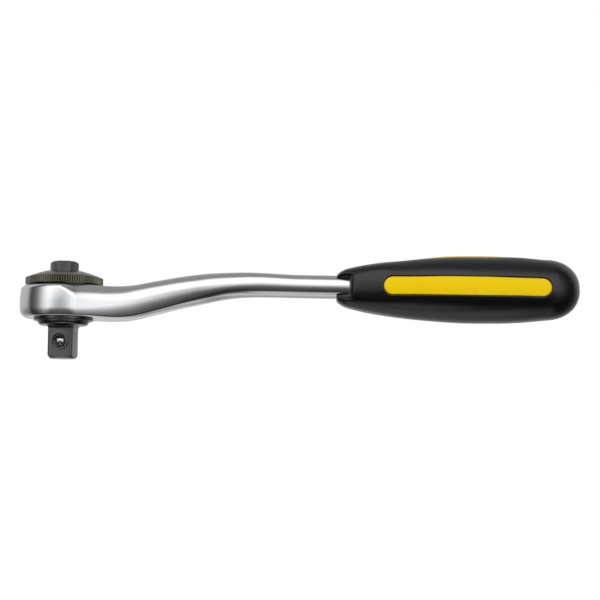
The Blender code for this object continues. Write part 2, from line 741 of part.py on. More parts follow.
def make_hex_screw(mat, selector):
    corner = HEX_FLATS / math.sqrt(3)
    base = DISC_TOP + PIN_FIT
    chamfered = [
        (0, base),
        (corner + MM, base),
        (corner + MM, HEX_TOP - HEX_CHAMFER),
        (HEX_FLATS / 2 - HEX_CHAMFER / 2, HEX_TOP),
        (0, HEX_TOP),
    ]
    screw = add("hex_screw", turned(chamfered), mat, selector)
    screw.rotation_euler.z = -DRIVE_TURN
    hexagon = arc((0, 0), corner, 0, math.tau * 5 / 6, 6)
    combine(screw, helper("hex_shape", prism(hexagon, base - MM, HEX_TOP + MM), screw), "INTERSECT")
    combine(screw, helper("screw_shank", rod(SCREW_RADIUS, SCREW_END, base + MM, 28), screw), "UNION")


# The grip

def grip_radius(x):
    """The grip's radius, along its outline and then over its butt."""
    butt_x, butt_r = GRIP_OUTLINE[-1]
    if x <= butt_x:
        return smooth_curve(GRIP_OUTLINE, x)
    share = (x - butt_x) / BUTT_LENGTH
    return (butt_r - BUTT_TAPER * (x - butt_x)) * (1 - share**BUTT_FULLNESS) ** (1 / BUTT_FULLNESS)


def mouth_share(turn):
    """0 at the sides of the grip, where the mouth is cut back, and 1 at its top and bottom tongues."""
    from_side = abs(math.asin(abs(math.sin(turn))))
    return ease(from_side, *MOUTH_TURN)


def grip_solid(steps=44):
    """The grip as one closed form: a mouth with two tongues, the outline and a round butt."""
    butt_x = GRIP_OUTLINE[-1][0]
    front_rows = np.linspace(0, 1, 8) ** 2
    outline_x = list(np.linspace(GRIP_JOIN, butt_x, GRIP_ROWS + 1)[1:])
    outline_x += [butt_x + BUTT_LENGTH * math.sin(a) for a in np.linspace(0, BUTT_LAST_ROW, BUTT_ROWS + 1)[1:]]
    inner = GRIP_MOUTH_RADIUS - MM / 2
    columns = []
    for k in range(steps):
        turn = math.tau * k / steps
        share = mouth_share(turn)
        front = GRIP_SIDE_MOUTH + (GRIP_TIP - GRIP_SIDE_MOUTH) * share
        soft = GRIP_SIDE_ROUND + (GRIP_TIP_ROUND - GRIP_SIDE_ROUND) * share
        points = [(GRIP_SIDE_MOUTH, inner * 0.8)]
        for row in front_rows:
            x = front + (GRIP_JOIN - front) * row
            left = 1 - min((x - front) / soft, 1)
            points.append((x, inner + (grip_radius(x) - inner) * math.sqrt(1 - left**2)))
        points += [(x, grip_radius(x)) for x in outline_x]
        columns.append([(x, r * math.cos(turn), GRIP_AXIS_HEIGHT + r * math.sin(turn)) for x, r in points])
    return loft(list(zip(*columns)))


def along_grip(profile, steps=36):
    """A profile of (radius, X) points turned about the grip's axis."""
    return turned(profile, steps, along_x(GRIP_AXIS_HEIGHT))


def core_profile(wall):
    """The hard core's outline: this much inside the grip's."""
    butt_x, butt_r = GRIP_OUTLINE[-1]
    start = CORE_START + wall - COVER_WALL
    points = [(0, start)]
    for x in np.linspace(start, butt_x, 7)[:-1]:
        points.append((grip_radius(x) - wall, x))
    points += arc((0, butt_x), butt_r - wall, 0, math.pi / 2, 6)
    points[-1] = (0, butt_x + butt_r - wall)
    return points


def window(turn, shrink, name):
    """A round-ended bar through the grip's side, standing on its axis and leaning to this side."""
    half = WINDOW_WIDTH / 2 - shrink
    start, end = WINDOW_START + WINDOW_WIDTH / 2, WINDOW_END - WINDOW_WIDTH / 2
    outline = arc((start, 0), half, math.pi / 2, math.pi * 3 / 2, 9)
    outline += arc((end, 0), half, -math.pi / 2, math.pi / 2, 9)
    bm = prism(outline, WINDOW_FOOT, WINDOW_FOOT + WINDOW_WIDTH * 2)
    lean = Matrix.Translation((0, 0, GRIP_AXIS_HEIGHT)) @ Matrix.Rotation(turn - math.pi / 2, 4, "X")
    bmesh.ops.transform(bm, matrix=lean, verts=bm.verts)
    return helper(name, bm)


def make_grip(cover_mat, core_mat):
    axis = along_x(GRIP_AXIS_HEIGHT)
    cover = add("grip_cover", grip_solid(), cover_mat)
    shank_hole = rod(GRIP_MOUTH_RADIUS, GRIP_TIP - PAST, CORE_START + PAST, 32, axis)
    combine(cover, helper("shank_hole_cutter", shank_hole))
    combine(cover, helper("core_cutter", along_grip(core_profile(COVER_WALL))))
    core = add("grip_core", along_grip(core_profile(COVER_WALL + CORE_GAP)), core_mat)
    outer = helper("grip_outer", grip_solid())
    for name, turn in WINDOW_TURNS.items():
        combine(cover, window(turn, 0, f"window_cutter_{name}"))
        pad = window(turn, CORE_GAP, f"window_pad_{name}")
        combine(pad, outer, "INTERSECT")
        combine(core, pad, "UNION")
    tang_hole = rod(TANG_RADIUS + TOUCH, SHANK_END - PAST, TANG_END + TOUCH, 24, axis)
    combine(core, helper("tang_hole_cutter", tang_hole))


def main():
    clear_scene()
    chrome = finish("satin_chrome", (0.72, 0.73, 0.74), 0.22, 1.0)
    black_steel = finish("blackened_steel", (0.05, 0.055, 0.058), 0.38, 0.8)
    bright_steel = finish("hardened_steel", (0.55, 0.56, 0.57), 0.3, 1.0)
    black_rubber = finish("black_grip", (0.022, 0.024, 0.027), 0.42, 0.0)
    yellow = finish("yellow_core", (0.82, 0.61, 0.0), 0.35, 0.0)

    drive = pivot("drive_axis", turn=DRIVE_TURN)
    selector = pivot("selector_axis", drive)

    make_ratchet_body(chrome)
    make_retaining_ring(black_steel)
    make_dust_seal(black_rubber)
    make_friction_washer(bright_steel)
    make_grip(black_rubber, yellow)

    make_drive_anvil(black_steel, drive)
    make_detent_ball(bright_steel, drive)
    make_detent_spring(bright_steel, drive)
    make_pawls(bright_steel, drive)
    make_stop_pin(bright_steel, drive)

    make_selector_stem(bright_steel, selector)
    make_plungers(bright_steel, selector)
    make_reversing_disc(black_steel, selector)
    make_hex_screw(black_steel, selector)


main()
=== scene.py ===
"""Looks of a reversible ratchet: forged head and shank, knurled disc, square drive and two-colour grip.

Every size is in metres, in the frame's own axes: +Z up the drive axis, +X along the handle.
Turns about the handle count from the far side, +Y, through the top, +Z, to the near side, -Y.
"""

import json
import math

import bmesh
import bpy
from bpy.props import FloatProperty, FloatVectorProperty, IntProperty, PointerProperty
from mathutils import Matrix, Quaternion, Vector


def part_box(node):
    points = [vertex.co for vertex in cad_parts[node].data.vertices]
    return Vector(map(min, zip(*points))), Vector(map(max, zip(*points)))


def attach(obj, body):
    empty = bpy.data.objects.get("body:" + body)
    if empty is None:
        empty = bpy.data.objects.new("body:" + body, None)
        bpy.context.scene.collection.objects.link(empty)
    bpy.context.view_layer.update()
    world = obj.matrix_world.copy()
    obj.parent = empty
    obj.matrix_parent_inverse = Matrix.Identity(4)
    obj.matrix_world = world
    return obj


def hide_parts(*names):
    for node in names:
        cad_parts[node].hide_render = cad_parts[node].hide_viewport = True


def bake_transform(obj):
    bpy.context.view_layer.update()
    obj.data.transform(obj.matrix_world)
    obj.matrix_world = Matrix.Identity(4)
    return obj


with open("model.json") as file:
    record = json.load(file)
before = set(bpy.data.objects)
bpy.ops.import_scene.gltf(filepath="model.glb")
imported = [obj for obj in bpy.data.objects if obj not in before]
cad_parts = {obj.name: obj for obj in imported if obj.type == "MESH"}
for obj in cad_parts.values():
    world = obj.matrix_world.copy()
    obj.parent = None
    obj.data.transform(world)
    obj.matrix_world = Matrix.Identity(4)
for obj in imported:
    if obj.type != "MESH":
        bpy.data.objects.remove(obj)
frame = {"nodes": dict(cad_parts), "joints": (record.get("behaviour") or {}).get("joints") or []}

bl_info = {
    "name": "Reversible ratchet",
    "version": (1, 0, 0),
    "blender": (4, 5, 0),
    "location": "View3D > Sidebar > Ratchet",
    "description": "Dresses a packed ratchet with finished pieces, materials and a photo studio",
    "category": "Add Mesh",
}

MM = 0.001
QUARTER = math.pi / 2
# Points nearer than this are merged, and edges sharper than this stay creased
WELD = 0.002 * MM
CREASE = math.radians(32)
# How far a cutter reaches past what it cuts
PAST = 3 * MM
# Steps round a large turned piece, a small one and the screw's shank
TURN_STEPS = 160
SMALL_STEPS = 64
SCREW_STEPS = 48


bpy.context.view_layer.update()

# Places that the packed frame gives
JOINT_AXES = {joint["name"]: joint["axis"] for joint in frame["joints"]}
PRESS = JOINT_AXES["ball_press"]
DRIVE_TURN = -math.atan2(PRESS[0], PRESS[1])
RING_LOW, RING_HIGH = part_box("retaining_ring")
DISC_LOW, DISC_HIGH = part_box("reversing_disc")
HEX_LOW, HEX_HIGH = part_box("hex_screw")
BALL_LOW, BALL_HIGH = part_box("detent_ball")
PLUNGER_LOW, PLUNGER_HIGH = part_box("plunger_front")
GRIP_LOW, GRIP_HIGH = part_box("grip_cover")
GRIP_AXIS = (GRIP_LOW.z + GRIP_HIGH.z) / 2

# The forging's crank, in millimetres: (along the handle, height) and (along the handle, half height)
NECK_MIDDLE = [
    (14, 28.1), (24, 27.9), (34, 28.6), (46, 31.25), (58, 33.95),
    (70, 36.1), (82, 37.75), (94, 38.45), (120, 38.1),
]
NECK_HALF_HEIGHT = [
    (14, 7.9), (32, 8.25), (46, 8.15), (70, 7.45), (82, 6.65), (94, 6.25), (120, 5.8),
]
# The height from which the head's wall curves in, where the neck is down to the shank's width, and the
# share of a section that its round takes up
HEAD_PEAK = 26.6 * MM
NECK_WIDTH_END = 100 * MM
FULLEST_ROUND = 0.985
# Sections along the neck, round its fillet and round one half of the head, and points down their wall
NECK_SECTIONS = 130
FILLET_SECTIONS = 44
HEAD_SECTIONS = 110
WALL_POINTS = 14
# Where, along the handle, the head's upper edge turns into a bevel and that into the neck's round,
# and where its lower edge turns into the round
BEVEL_BLEND = (-2 * MM, 9 * MM)
TOP_ROUND_BLEND = (14 * MM, 34 * MM)
LOWER_ROUND_BLEND = (52 * MM, 98 * MM)
# The slope of the upper bevel and the height of its rounded lip
JUNCTION_LEAN = math.radians(36)
JUNCTION_LIP = 0.3 * MM
# The lower edge: how far the wall turns in, on which radius, and how high the bevel under that is,
# in millimetres as (along the handle, radius) and (along the handle, height)
LOWER_LEAN = math.radians(22)
LOWER_CURVE = [(8, 9.5), (32, 18.0), (50, 16.0), (70, 12.5), (98, 10.0)]
LOWER_BEVEL = [(-22, 1.6), (-12, 0.4), (26, 0.4), (48, 1.2), (68, 1.9)]
# The lower bevel's form in shares of its height, as (in from the wall, up from the bottom)
LOWER_BEVEL_FORM = [(0.022, 0.97), (0.077, 0.91), (0.55, 0.5), (0.935, 0.14), (1.067, 0.05), (1.32, 0)]
TANG_RADIUS = 5.0 * MM
TANG_END = 226 * MM

# The bore through the head and the groove for its seal
RING_BORE = 15.1 * MM
WEB_BOTTOM = 33.3 * MM
TOP_BORE = 9.3 * MM
SEAL_GROOVE = (10.3 * MM, 12.6 * MM)
SEAL_GROOVE_BOTTOM = 34.5 * MM
TEETH_BOTTOM = 23.2 * MM
TEETH_TOP = 32.2 * MM
TOOTH_TIP = 13.8 * MM
# Forms of a tooth and of a knurl ridge: how far the root sinks in, half the width at root and tip as shares
# of the pitch, and how far the ends slope in
TOOTH_FORM = (0.15 * MM, 0.46, 0.1, 0.3 * MM)
RIDGE_FORM = (0.02 * MM, 0.5, 0.17, 0.2 * MM)
# How much of the way out to its tip a tooth's sides reach
TOOTH_SHOULDER = 0.9
# The retaining ring's play round the drive, and the rounding of its edges
RING_PLAY = 0.25 * MM
RING_ROUND = 0.55 * MM

# The drive above its square
JOURNAL_RADIUS = 12.75 * MM
JOURNAL_BOTTOM = 16.5 * MM
JOURNAL_ROUND = 2.0 * MM
CARRIER_RADIUS = 13.5 * MM
CARRIER_BOTTOM = 23.3 * MM
CARRIER_TOP = 32.4 * MM
TOP_JOURNAL = 9.0 * MM
TOP_JOURNAL_END = 35.7 * MM
SLOT_HALF_WIDTH = 8.4 * MM
SLOT_BOTTOM = 25.0 * MM
SLOT_TOP = 30.8 * MM
STEM_BORE = 6.25 * MM
STEM_BORE_BOTTOM = 24.0 * MM
# The square's flare: its reach as a share of its height, and how much its corners grow for each millimetre
FLARE_SHARE = 0.7
FLARE_CORNER = 0.4
BALL_HEIGHT = (BALL_LOW.z + BALL_HIGH.z) / 2
BALL_RADIUS = (BALL_HIGH.z - BALL_LOW.z) / 2
BALL_PLACE = math.hypot((BALL_LOW.x + BALL_HIGH.x) / 2, (BALL_LOW.y + BALL_HIGH.y) / 2)
BALL_BORE = 3.3 * MM
BALL_BORE_END = 3.4 * MM
BALL_MOUTH_DEPTH = 0.9 * MM
BALL_SINK = 0.45 * MM
PLUNGER_INNER_END = 3.0 * MM
PLUNGER_HEIGHT = (PLUNGER_LOW.z + PLUNGER_HIGH.z) / 2
# Steps round each turn of a spring, and points round its wire
COIL_STEPS = 24
WIRE_POINTS = 11

# The disc's outline in millimetres, as (radius, height): its foot and its rim's upper edge are counted from
# the knurl's root, its cone from the rim's top and its crown from the disc's own top
RIM_BOTTOM = 0.5
DISC_FOOT = [(-0.7, 0), (-0.06, 0.42), (0, RIM_BOTTOM)]
DISC_RIM_EDGE = [(0, -0.1), (-0.1, 0.05)]
DISC_CONE = [(18.0, 0.42), (16.0, 1.2)]
DISC_CROWN = [(13.4, -1.3), (10.8, -0.55), (9.2, -0.12), (8.4, 0)]
DISC_BORE = 6.25 * MM
KNURL_BOTTOM = 0.45 * MM
# The hexagon's turned foot and chamfer in millimetres, as (past the flats, height), and how far from its
# foot and its top it is left whole
HEX_FOOT = [(-0.1, -1), (-0.1, 0.12)]
HEX_CHAMFER = [(0.2, -0.75), (-0.6, -0.12), (-1.2, 0)]
HEX_CLEAR = (0.5 * MM, 4.2 * MM)
SCREW_RADIUS = 3.8 * MM

# The grip's outline in millimetres, as (along the handle, radius), and then a blunt round butt
GRIP_OUTLINE = [
    (136, 8.35), (148, 11.3), (164, 13.95), (180, 15.7),
    (196, 16.68), (212, 16.82), (227, 16.55), (242, 15.2),
]
BUTT_START = GRIP_OUTLINE[-1][0] * MM
BUTT_RADIUS = GRIP_OUTLINE[-1][1] * MM
BUTT_LENGTH = 15.9 * MM
BUTT_TAPER = 0.09
BUTT_FULLNESS = 2.3
# How far the grip's back and belly stand above a round section, in millimetres: (along the handle, rise)
GRIP_RISE = [
    (136, -0.17), (165, -0.17), (185, 0.06), (205, 0.1), (217, 0.28), (229, 0.56), (241, 0.7), (258, 0.76),
]
GRIP_ROLL = math.radians(3)
SIDE_MOUTH = 142.5 * MM
MOUTH_TURN = (math.radians(33), math.radians(46))
HOLE_STEP = 150 * MM
HOLE_RADIUS = 5.3 * MM
STRIPE_PLACES = {"far": 0.0, "top": QUARTER, "near": math.pi}
PATCH_HALF_WIDTH = 7.0 * MM
PATCH_MARGIN = 2.5 * MM
# How far the stripes' ends are sunk, between which shares of their half length they go down, and where the
# mouth's squared section turns round
STRIPE_SINK = 0.55 * MM
STRIPE_SINK_SPAN = (0.2, 0.65)
SQUARED_SPAN = (150 * MM, 172 * MM)
# Lines along the grip: across a stripe's patch, beside the mould's line in it, and between the patches
PATCH_LINES = 17
PARTING_SHARES = {-0.04, -0.02, 0.02, 0.04}
GAP_LINES = (11, 11, 40)
# Rows round the grip: over the mouth, from there to the patches, over a patch's ends and middle, and the butt
MOUTH_ROWS = 16
FRONT_ROWS = 12
PATCH_END_ROWS = 11
PATCH_MIDDLE_ROWS = 40
BUTT_ROWS = 24


# Small sums

def linear(code):
    """Turns an sRGB hex code into the linear colour that Blender works in."""
    channels = [int(code[i:i + 2], 16) / 255 for i in (0, 2, 4)]
    return [c / 12.92 if c <= 0.04045 else ((c + 0.055) / 1.055) ** 2.4 for c in channels] + [1.0]


def mix(start, end, share):
    """The value this share of the way from start to end."""
    return start + (end - start) * share


def ease(value, start, end):
    """Rises smoothly from 0 at start to 1 at end."""
    share = min(max((value - start) / (end - start), 0.0), 1.0)
    return share * share * (3 - 2 * share)


def slope(before, after):
    """How steeply a line rises from one point to another."""
    return (after[1] - before[1]) / (after[0] - before[0])


def smooth_curve(points, x, level_ends=True):
    """Height at x of a smooth curve through points in millimetres, that stays level beyond both ends."""
    at = min(max(x / MM, points[0][0]), points[-1][0])
    ends = (0.0, 0.0) if level_ends else (slope(*points[:2]), slope(*points[-2:]))
    slopes = [ends[0]] + [slope(*pair) for pair in zip(points, points[2:])] + [ends[1]]
    i = max(k for k in range(len(points) - 1) if at >= points[k][0])
    (x0, y0), (x1, y1) = points[i], points[i + 1]
    width = x1 - x0
    t = (at - x0) / width
    rise = (y1 - y0) * t * t * (3 - 2 * t)
    lean = slopes[i] * t * (1 - t) ** 2 - slopes[i + 1] * t * t * (1 - t)
    return (y0 + rise + lean * width) * MM


def spread(start, end, count):
    """Evenly spaced values from start to end, with both ends."""
    return [mix(start, end, i / (count - 1)) for i in range(count)]


def arc(centre, radius, start, end, count=9, rise=None):
    """Points on part of a circle in a profile, or of an ellipse with another radius upward."""
    across, up = centre
    tall = radius if rise is None else rise
    return [(across + radius * math.cos(a), up + tall * math.sin(a)) for a in spread(start, end, count)]


def blended(first, second, share):
    """The point this share of the way from one profile point to another."""
    return [mix(a, b, share) for a, b in zip(first, second)]


def beside(points, radius, height):
    """Profile points given in millimetres from one place, as points of the whole profile."""
    return [(radius + across * MM, height + up * MM) for across, up in points]


# Settings that a user would change

def number(name, description, default, **kind):
    """A number, plain or with a unit."""
    return FloatProperty(name=name, description=description, default=default, **kind)


def whole_number(name, description, default):
    """A count of like things."""
    return IntProperty(name=name, description=description, default=default)


def length(name, description, default):
    """A size in metres."""
    return number(name, description, default, unit="LENGTH", precision=5)


def angle(name, description, degrees):
    """An angle, given in degrees."""
    return number(name, description, math.radians(degrees), unit="ROTATION")


def colour(name, description, code):
    """A colour, given as an sRGB hex code."""
    return FloatVectorProperty(
        name=name, description=description, default=linear(code), size=4, subtype="COLOR", min=0, max=1
    )


class ForgingSizes(bpy.types.PropertyGroup):
    """Sizes of the forged head, neck and shank."""

    head_radius: length("Head radius", "Radius of the head at its fullest", 21.9 * MM)
    head_crown: number("Head crown", "How fast the head's wall curves in", 8.0)
    top_round: length("Top round", "Rounding of the head's upper edge", 2.2 * MM)
    junction_curve: length("Junction curve", "Radius on which the wall turns in above, by the neck", 8 * MM)
    junction_height: length("Junction height", "Height of the bevel above it", 3 * MM)
    neck_half_width: length("Neck half width", "Half the neck's width beside the head", 8.2 * MM)
    neck_fillet: length("Neck fillet", "Radius between head and neck, seen from above", 150 * MM)
    shank_radius: length("Shank radius", "Radius of the round shank", 5.8 * MM)
    shank_end: length("Shank end", "Where the shank steps down inside the grip", 143 * MM)
    teeth: whole_number("Teeth", "Teeth round the inside of the head", 36)


class DriveSizes(bpy.types.PropertyGroup):
    """Sizes of the square drive and its ball."""

    square_side: length("Square side", "Side of the square drive", 12.7 * MM)
    square_corner: length("Square corner", "Rounding of the square's long edges", 1.2 * MM)
    end_radius: length("End radius", "Where the turned chamfer meets the square's end", 6.2 * MM)
    end_slope: angle("End slope", "Slope of the turned chamfer", 36)
    root_fillet: length("Root fillet", "Fillet between the square and its flange", 1.9 * MM)
    ball_mouth: length("Ball mouth", "Radius of the mouth that holds the ball in", 2.85 * MM)
    lip_height: length("Lip height", "How far the lip round the mouth stands out", 0.14 * MM)
    stake_radius: length("Stake radius", "Middle radius of the groove staked round the ball", 4.05 * MM)
    stake_width: length("Stake width", "Width of the staked groove", 0.6 * MM)
    stake_depth: length("Stake depth", "Depth of the staked groove", 0.35 * MM)


class SelectorSizes(bpy.types.PropertyGroup):
    """Sizes of the reversing disc and the hexagon on it."""

    ridges: whole_number("Ridges", "Knurl ridges round the disc's rim", 96)
    ridge_height: length("Ridge height", "How far a knurl ridge stands out", 0.5 * MM)
    rim_height: length("Rim height", "Height of the knurled rim", 3.5 * MM)
    hex_flats: length("Across flats", "Width of the hexagon across its flats", 13.0 * MM)
    hex_edge: length("Hexagon edge", "Rounding of the hexagon's upright edges", 0.7 * MM)
    hex_bulge: length("Hexagon bulge", "How far each flat is crowned", 0.25 * MM)


class SpringSizes(bpy.types.PropertyGroup):
    """Sizes of the springs behind the ball and between the plungers."""

    ball_coil: length("Ball coil", "Middle radius of the spring behind the ball", 1.9 * MM)
    ball_wire: length("Ball wire", "Radius of its wire", 0.25 * MM)
    ball_turns: number("Ball turns", "Turns of the spring behind the ball", 3)
    plunger_coil: length("Plunger coil", "Middle radius of the spring between the plungers", 1.2 * MM)
    plunger_wire: length("Plunger wire", "Radius of its wire", 0.22 * MM)
    plunger_turns: number("Plunger turns", "Turns on each side of its middle", 2.5)
    end_gap: length("End gap", "Room between a spring's end and what it pushes", 0.3 * MM)


class GripSizes(bpy.types.PropertyGroup):
    """Sizes of the grip and its stripes."""

    squareness: number("Squareness", "Section of the mouth: 2 is round, more is squarer", 2.6)
    lip_radius: length("Lip radius", "Radius of the grip's mouth on the shank", 6.05 * MM)
    tongue_round: length("Tongue round", "Length of the rounded tongues above and below", 5.5 * MM)
    side_round: length("Side round", "Rounding of the mouth's two sides", 2.4 * MM)
    stripe_start: length("Stripe start", "Front end of the stripes", 159.5 * MM)
    stripe_end: length("Stripe end", "Rear end of the stripes", 242.8 * MM)
    stripe_width: length("Stripe width", "Width of a stripe", 9.4 * MM)
    stripe_crest: length("Stripe crest", "How far a stripe's middle stands out", 0.1 * MM)
    parting_line: length("Parting line", "Height of the mould's line along both sides", 0.035 * MM)


class Finishes(bpy.types.PropertyGroup):
    """Colours of the finishes."""

    chrome: colour("Chrome", "Satin chrome's tint", "DEDFE1")
    black_steel: colour("Black steel", "Blackened steel of the square and the hexagon", "626365")
    disc_steel: colour("Disc steel", "Olive phosphate coat of the disc", "6B695F")
    bright_steel: colour("Bright steel", "Hardened steel inside and on the ball", "CFCDC8")
    grip_black: colour("Grip black", "Black elastomer", "060608")
    grip_yellow: colour("Grip yellow", "Yellow polypropylene", "EFCB06")


class StudioSettings(bpy.types.PropertyGroup):
    """The photograph's camera and light."""

    target: FloatVectorProperty(
        name="Target", description="Point at the middle of the picture",
        default=(118.05 * MM, 0, 31.4 * MM), subtype="TRANSLATION", unit="LENGTH",
    )
    distance: length("Distance", "Camera distance from the target", 1.417)
    elevation: angle("Elevation", "Camera height over the target, as an angle", -5)
    roll: angle("Roll", "Camera turn about its own view", 1)
    lens: number("Lens", "Focal length in millimetres", 170, unit="CAMERA")
    key_power: number("Key light", "Power of the large front light", 5.2, unit="POWER")
    ambient: number("Ambient", "Strength of the light from all round", 0.5)


# Mesh helpers

def add_points(bm, points):
    """Adds a row of vertices."""
    return [bm.verts.new(point) for point in points]


def weave(bm, rows, round_rows=True, round_points=True):
    """Joins neighbouring rows of points with faces, and returns the rows of vertices."""
    made = [add_points(bm, row) for row in rows]
    for first, second in zip(made, made[1:] + made[:1] if round_rows else made[1:]):
        count = len(first)
        for i in range(count if round_points else count - 1):
            k = (i + 1) % count
            bm.faces.new((first[i], second[i], second[k], first[k]))
    return made


def finish_shading(made):
    """Shades a piece smooth, with a crease along each sharp edge."""
    made.data.shade_smooth()
    made.data.set_sharp_from_angle(angle=CREASE)


def piece(name, bm):
    """Turns a bmesh into an object at the origin, with its doubles merged and its faces outward."""
    bmesh.ops.remove_doubles(bm, verts=bm.verts, dist=WELD)
    bmesh.ops.recalc_face_normals(bm, faces=bm.faces)
    mesh = bpy.data.meshes.new(name)
    bm.to_mesh(mesh)
    bm.free()
    made = bpy.data.objects.new(name, mesh)
    bpy.context.scene.collection.objects.link(made)
    finish_shading(made)
    return made


def settle(made, *helpers):
    """Swaps a piece's mesh for what its modifiers make of it, and removes them and the helpers."""
    graph = bpy.context.evaluated_depsgraph_get()
    mesh = bpy.data.meshes.new_from_object(made.evaluated_get(graph))
    if not mesh.polygons:
        raise RuntimeError(f"{made.name} came out empty")
    made.modifiers.clear()
    made.data = mesh
    for helper in helpers:
        bpy.data.objects.remove(helper)
    finish_shading(made)


def combine(made, *steps):
    """Cuts a piece with helper solids or joins them to it, one after another."""
    for operation, helper in steps:
        boolean = made.modifiers.new(operation.title(), "BOOLEAN")
        boolean.operation = operation
        boolean.solver = "EXACT"
        boolean.object = helper
    settle(made, *[helper for _, helper in steps])


def soften(made, width, segments=3):
    """Rounds a piece's sharp edges."""
    bevel = made.modifiers.new("Edges", "BEVEL")
    bevel.width = width
    bevel.segments = segments
    bevel.limit_method = "ANGLE"
    bevel.angle_limit = math.radians(25)
    settle(made)


def turned(name, profile, place=Matrix.Identity(4), steps=TURN_STEPS):
    """Spins a closed profile of (radius, height) points about an axis."""
    bm = bmesh.new()
    rows = []
    for i in range(steps):
        spin = place @ Matrix.Rotation(math.tau * i / steps, 4, "Z")
        rows.append([spin @ Vector((radius, 0, height)) for radius, height in profile])
    weave(bm, rows)
    return piece(name, bm)


def band(inner, outer, bottom, top):
    """The profile of a plain ring, or of a rod when its inner radius is 0."""
    return [(inner, bottom), (outer, bottom), (outer, top), (inner, top)]


def block(name, low, high, place=Matrix.Identity(4)):
    """A box between two corners, for a cutter."""
    bm = bmesh.new()
    middle = Matrix.Translation((Vector(low) + Vector(high)) / 2)
    size = Matrix.Diagonal((Vector(high) - Vector(low)).to_4d())
    bmesh.ops.create_cube(bm, size=1, matrix=place @ middle @ size)
    return piece(name, bm)


def stacked(name, outlines):
    """A solid made of closed outlines, one above another."""
    bm = bmesh.new()
    made = weave(bm, outlines, round_rows=False)
    bm.faces.new(reversed(made[0]))
    bm.faces.new(made[-1])
    return piece(name, bm)


def join(made, other):
    """Puts another piece's mesh into this one's."""
    bm = bmesh.new()
    bm.from_mesh(made.data)
    bm.from_mesh(other.data)
    bm.to_mesh(made.data)
    bm.free()
    bpy.data.objects.remove(other)


def dress(made, finish, body, slot, *nodes):
    """Gives a finished piece its material and the body it rides on, if any, and hides the nodes it stands
    for.
    """
    made.data.materials.clear()
    made.data.materials.append(finish)
    if body:
        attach(made, body)
    if nodes:
        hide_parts(*nodes)


# Node helpers

# The values between which nearly all of a noise lies
NOISE_SPAN = (0.3, 0.7)


def add_node(tree, kind, inputs=None, **settings):
    """Adds a node, sets its own settings and fills its inputs with values or links."""
    made = tree.nodes.new(kind)
    for key, value in settings.items():
        setattr(made, key, value)
    for key, value in (inputs or {}).items():
        if isinstance(value, bpy.types.NodeSocket):
            tree.links.new(value, made.inputs[key])
        else:
            made.inputs[key].default_value = value
    return made


def start_finish(name, **values):
    """A new material with values set on its shader, and the object coordinates that its pattern follows."""
    made = bpy.data.materials.new(name)
    made.use_nodes = True
    tree = made.node_tree
    shader = tree.nodes["Principled BSDF"]
    for key, value in values.items():
        shader.inputs[key.replace("_", " ")].default_value = value
    place = add_node(tree, "ShaderNodeTexCoord").outputs["Object"]
    return made, tree, shader, place


def speckle(tree, place, size, detail=2.0):
    """Noise with grains of this real size, from 0 to 1."""
    grain = add_node(tree, "ShaderNodeTexNoise", {"Vector": place, "Scale": 1 / size, "Detail": detail})
    return grain.outputs["Fac"]


def vary(tree, shader, socket, source, low, high):
    """Lets a noise move one of the shader's values between two ends."""
    start, end = NOISE_SPAN
    ends = {"From Min": start, "From Max": end, "To Min": low, "To Max": high}
    scale = add_node(tree, "ShaderNodeMapRange", {"Value": source, **ends})
    tree.links.new(scale.outputs["Result"], shader.inputs[socket])


def tint(tree, shader, source, tone, dark, light):
    """Lets a noise move the base colour between a darker and a lighter shade of one tone."""
    blend = add_node(tree, "ShaderNodeMix", {"Factor": source}, data_type="RGBA")
    for socket, factor in (("A", dark), ("B", light)):
        blend.inputs[socket].default_value = [min(channel * factor, 1.0) for channel in tone[:3]] + [1.0]
    tree.links.new(blend.outputs["Result"], shader.inputs["Base Color"])


def emboss(tree, shader, source, depth):
    """Raises a noise from the surface by a real depth."""
    bump = add_node(tree, "ShaderNodeBump", {"Height": source, "Distance": depth})
    tree.links.new(bump.outputs["Normal"], shader.inputs["Normal"])


# Finishes

def satin_chrome(colours):
    """Pearl chrome on the forging: bright, with a soft fine grain that breaks up its reflections."""
    made, tree, shader, place = start_finish("satin chrome", Metallic=1.0)
    # Drawn a little coarser than the real blasted grain, which is finer than a pixel
    grain = speckle(tree, place, 0.45 * MM)
    tint(tree, shader, speckle(tree, place, 9 * MM), colours.chrome, 0.94, 1)
    vary(tree, shader, "Roughness", grain, 0.13, 0.2)
    emboss(tree, shader, grain, 0.004 * MM)
    return made


def black_oxide(colours):
    """Oiled black oxide on the square and the hexagon: dark grey metal with a silky sheen."""
    made, tree, shader, place = start_finish("black oxide steel", Metallic=1.0)
    grain = speckle(tree, place, 0.3 * MM)
    tint(tree, shader, speckle(tree, place, 1.6 * MM, 4), colours.black_steel, 0.78, 1.12)
    vary(tree, shader, "Roughness", grain, 0.16, 0.26)
    emboss(tree, shader, grain, 0.006 * MM)
    return made


def brown_phosphate(colours):
    """Oiled phosphate coat on the disc: dark olive brown, duller than the oxide."""
    made, tree, shader, place = start_finish("phosphated steel", Metallic=1.0)
    grain = speckle(tree, place, 0.3 * MM)
    tint(tree, shader, speckle(tree, place, 2.2 * MM, 4), colours.disc_steel, 0.75, 1.15)
    vary(tree, shader, "Roughness", grain, 0.18, 0.28)
    emboss(tree, shader, grain, 0.006 * MM)
    return made


def bright_steel(colours):
    """Ground hardened steel of the ball and the works: bright and almost a mirror."""
    made, tree, shader, place = start_finish("hardened steel", Metallic=1.0)
    tint(tree, shader, speckle(tree, place, 1.2 * MM), colours.bright_steel, 0.9, 1)
    vary(tree, shader, "Roughness", speckle(tree, place, 0.25 * MM), 0.1, 0.2)
    return made


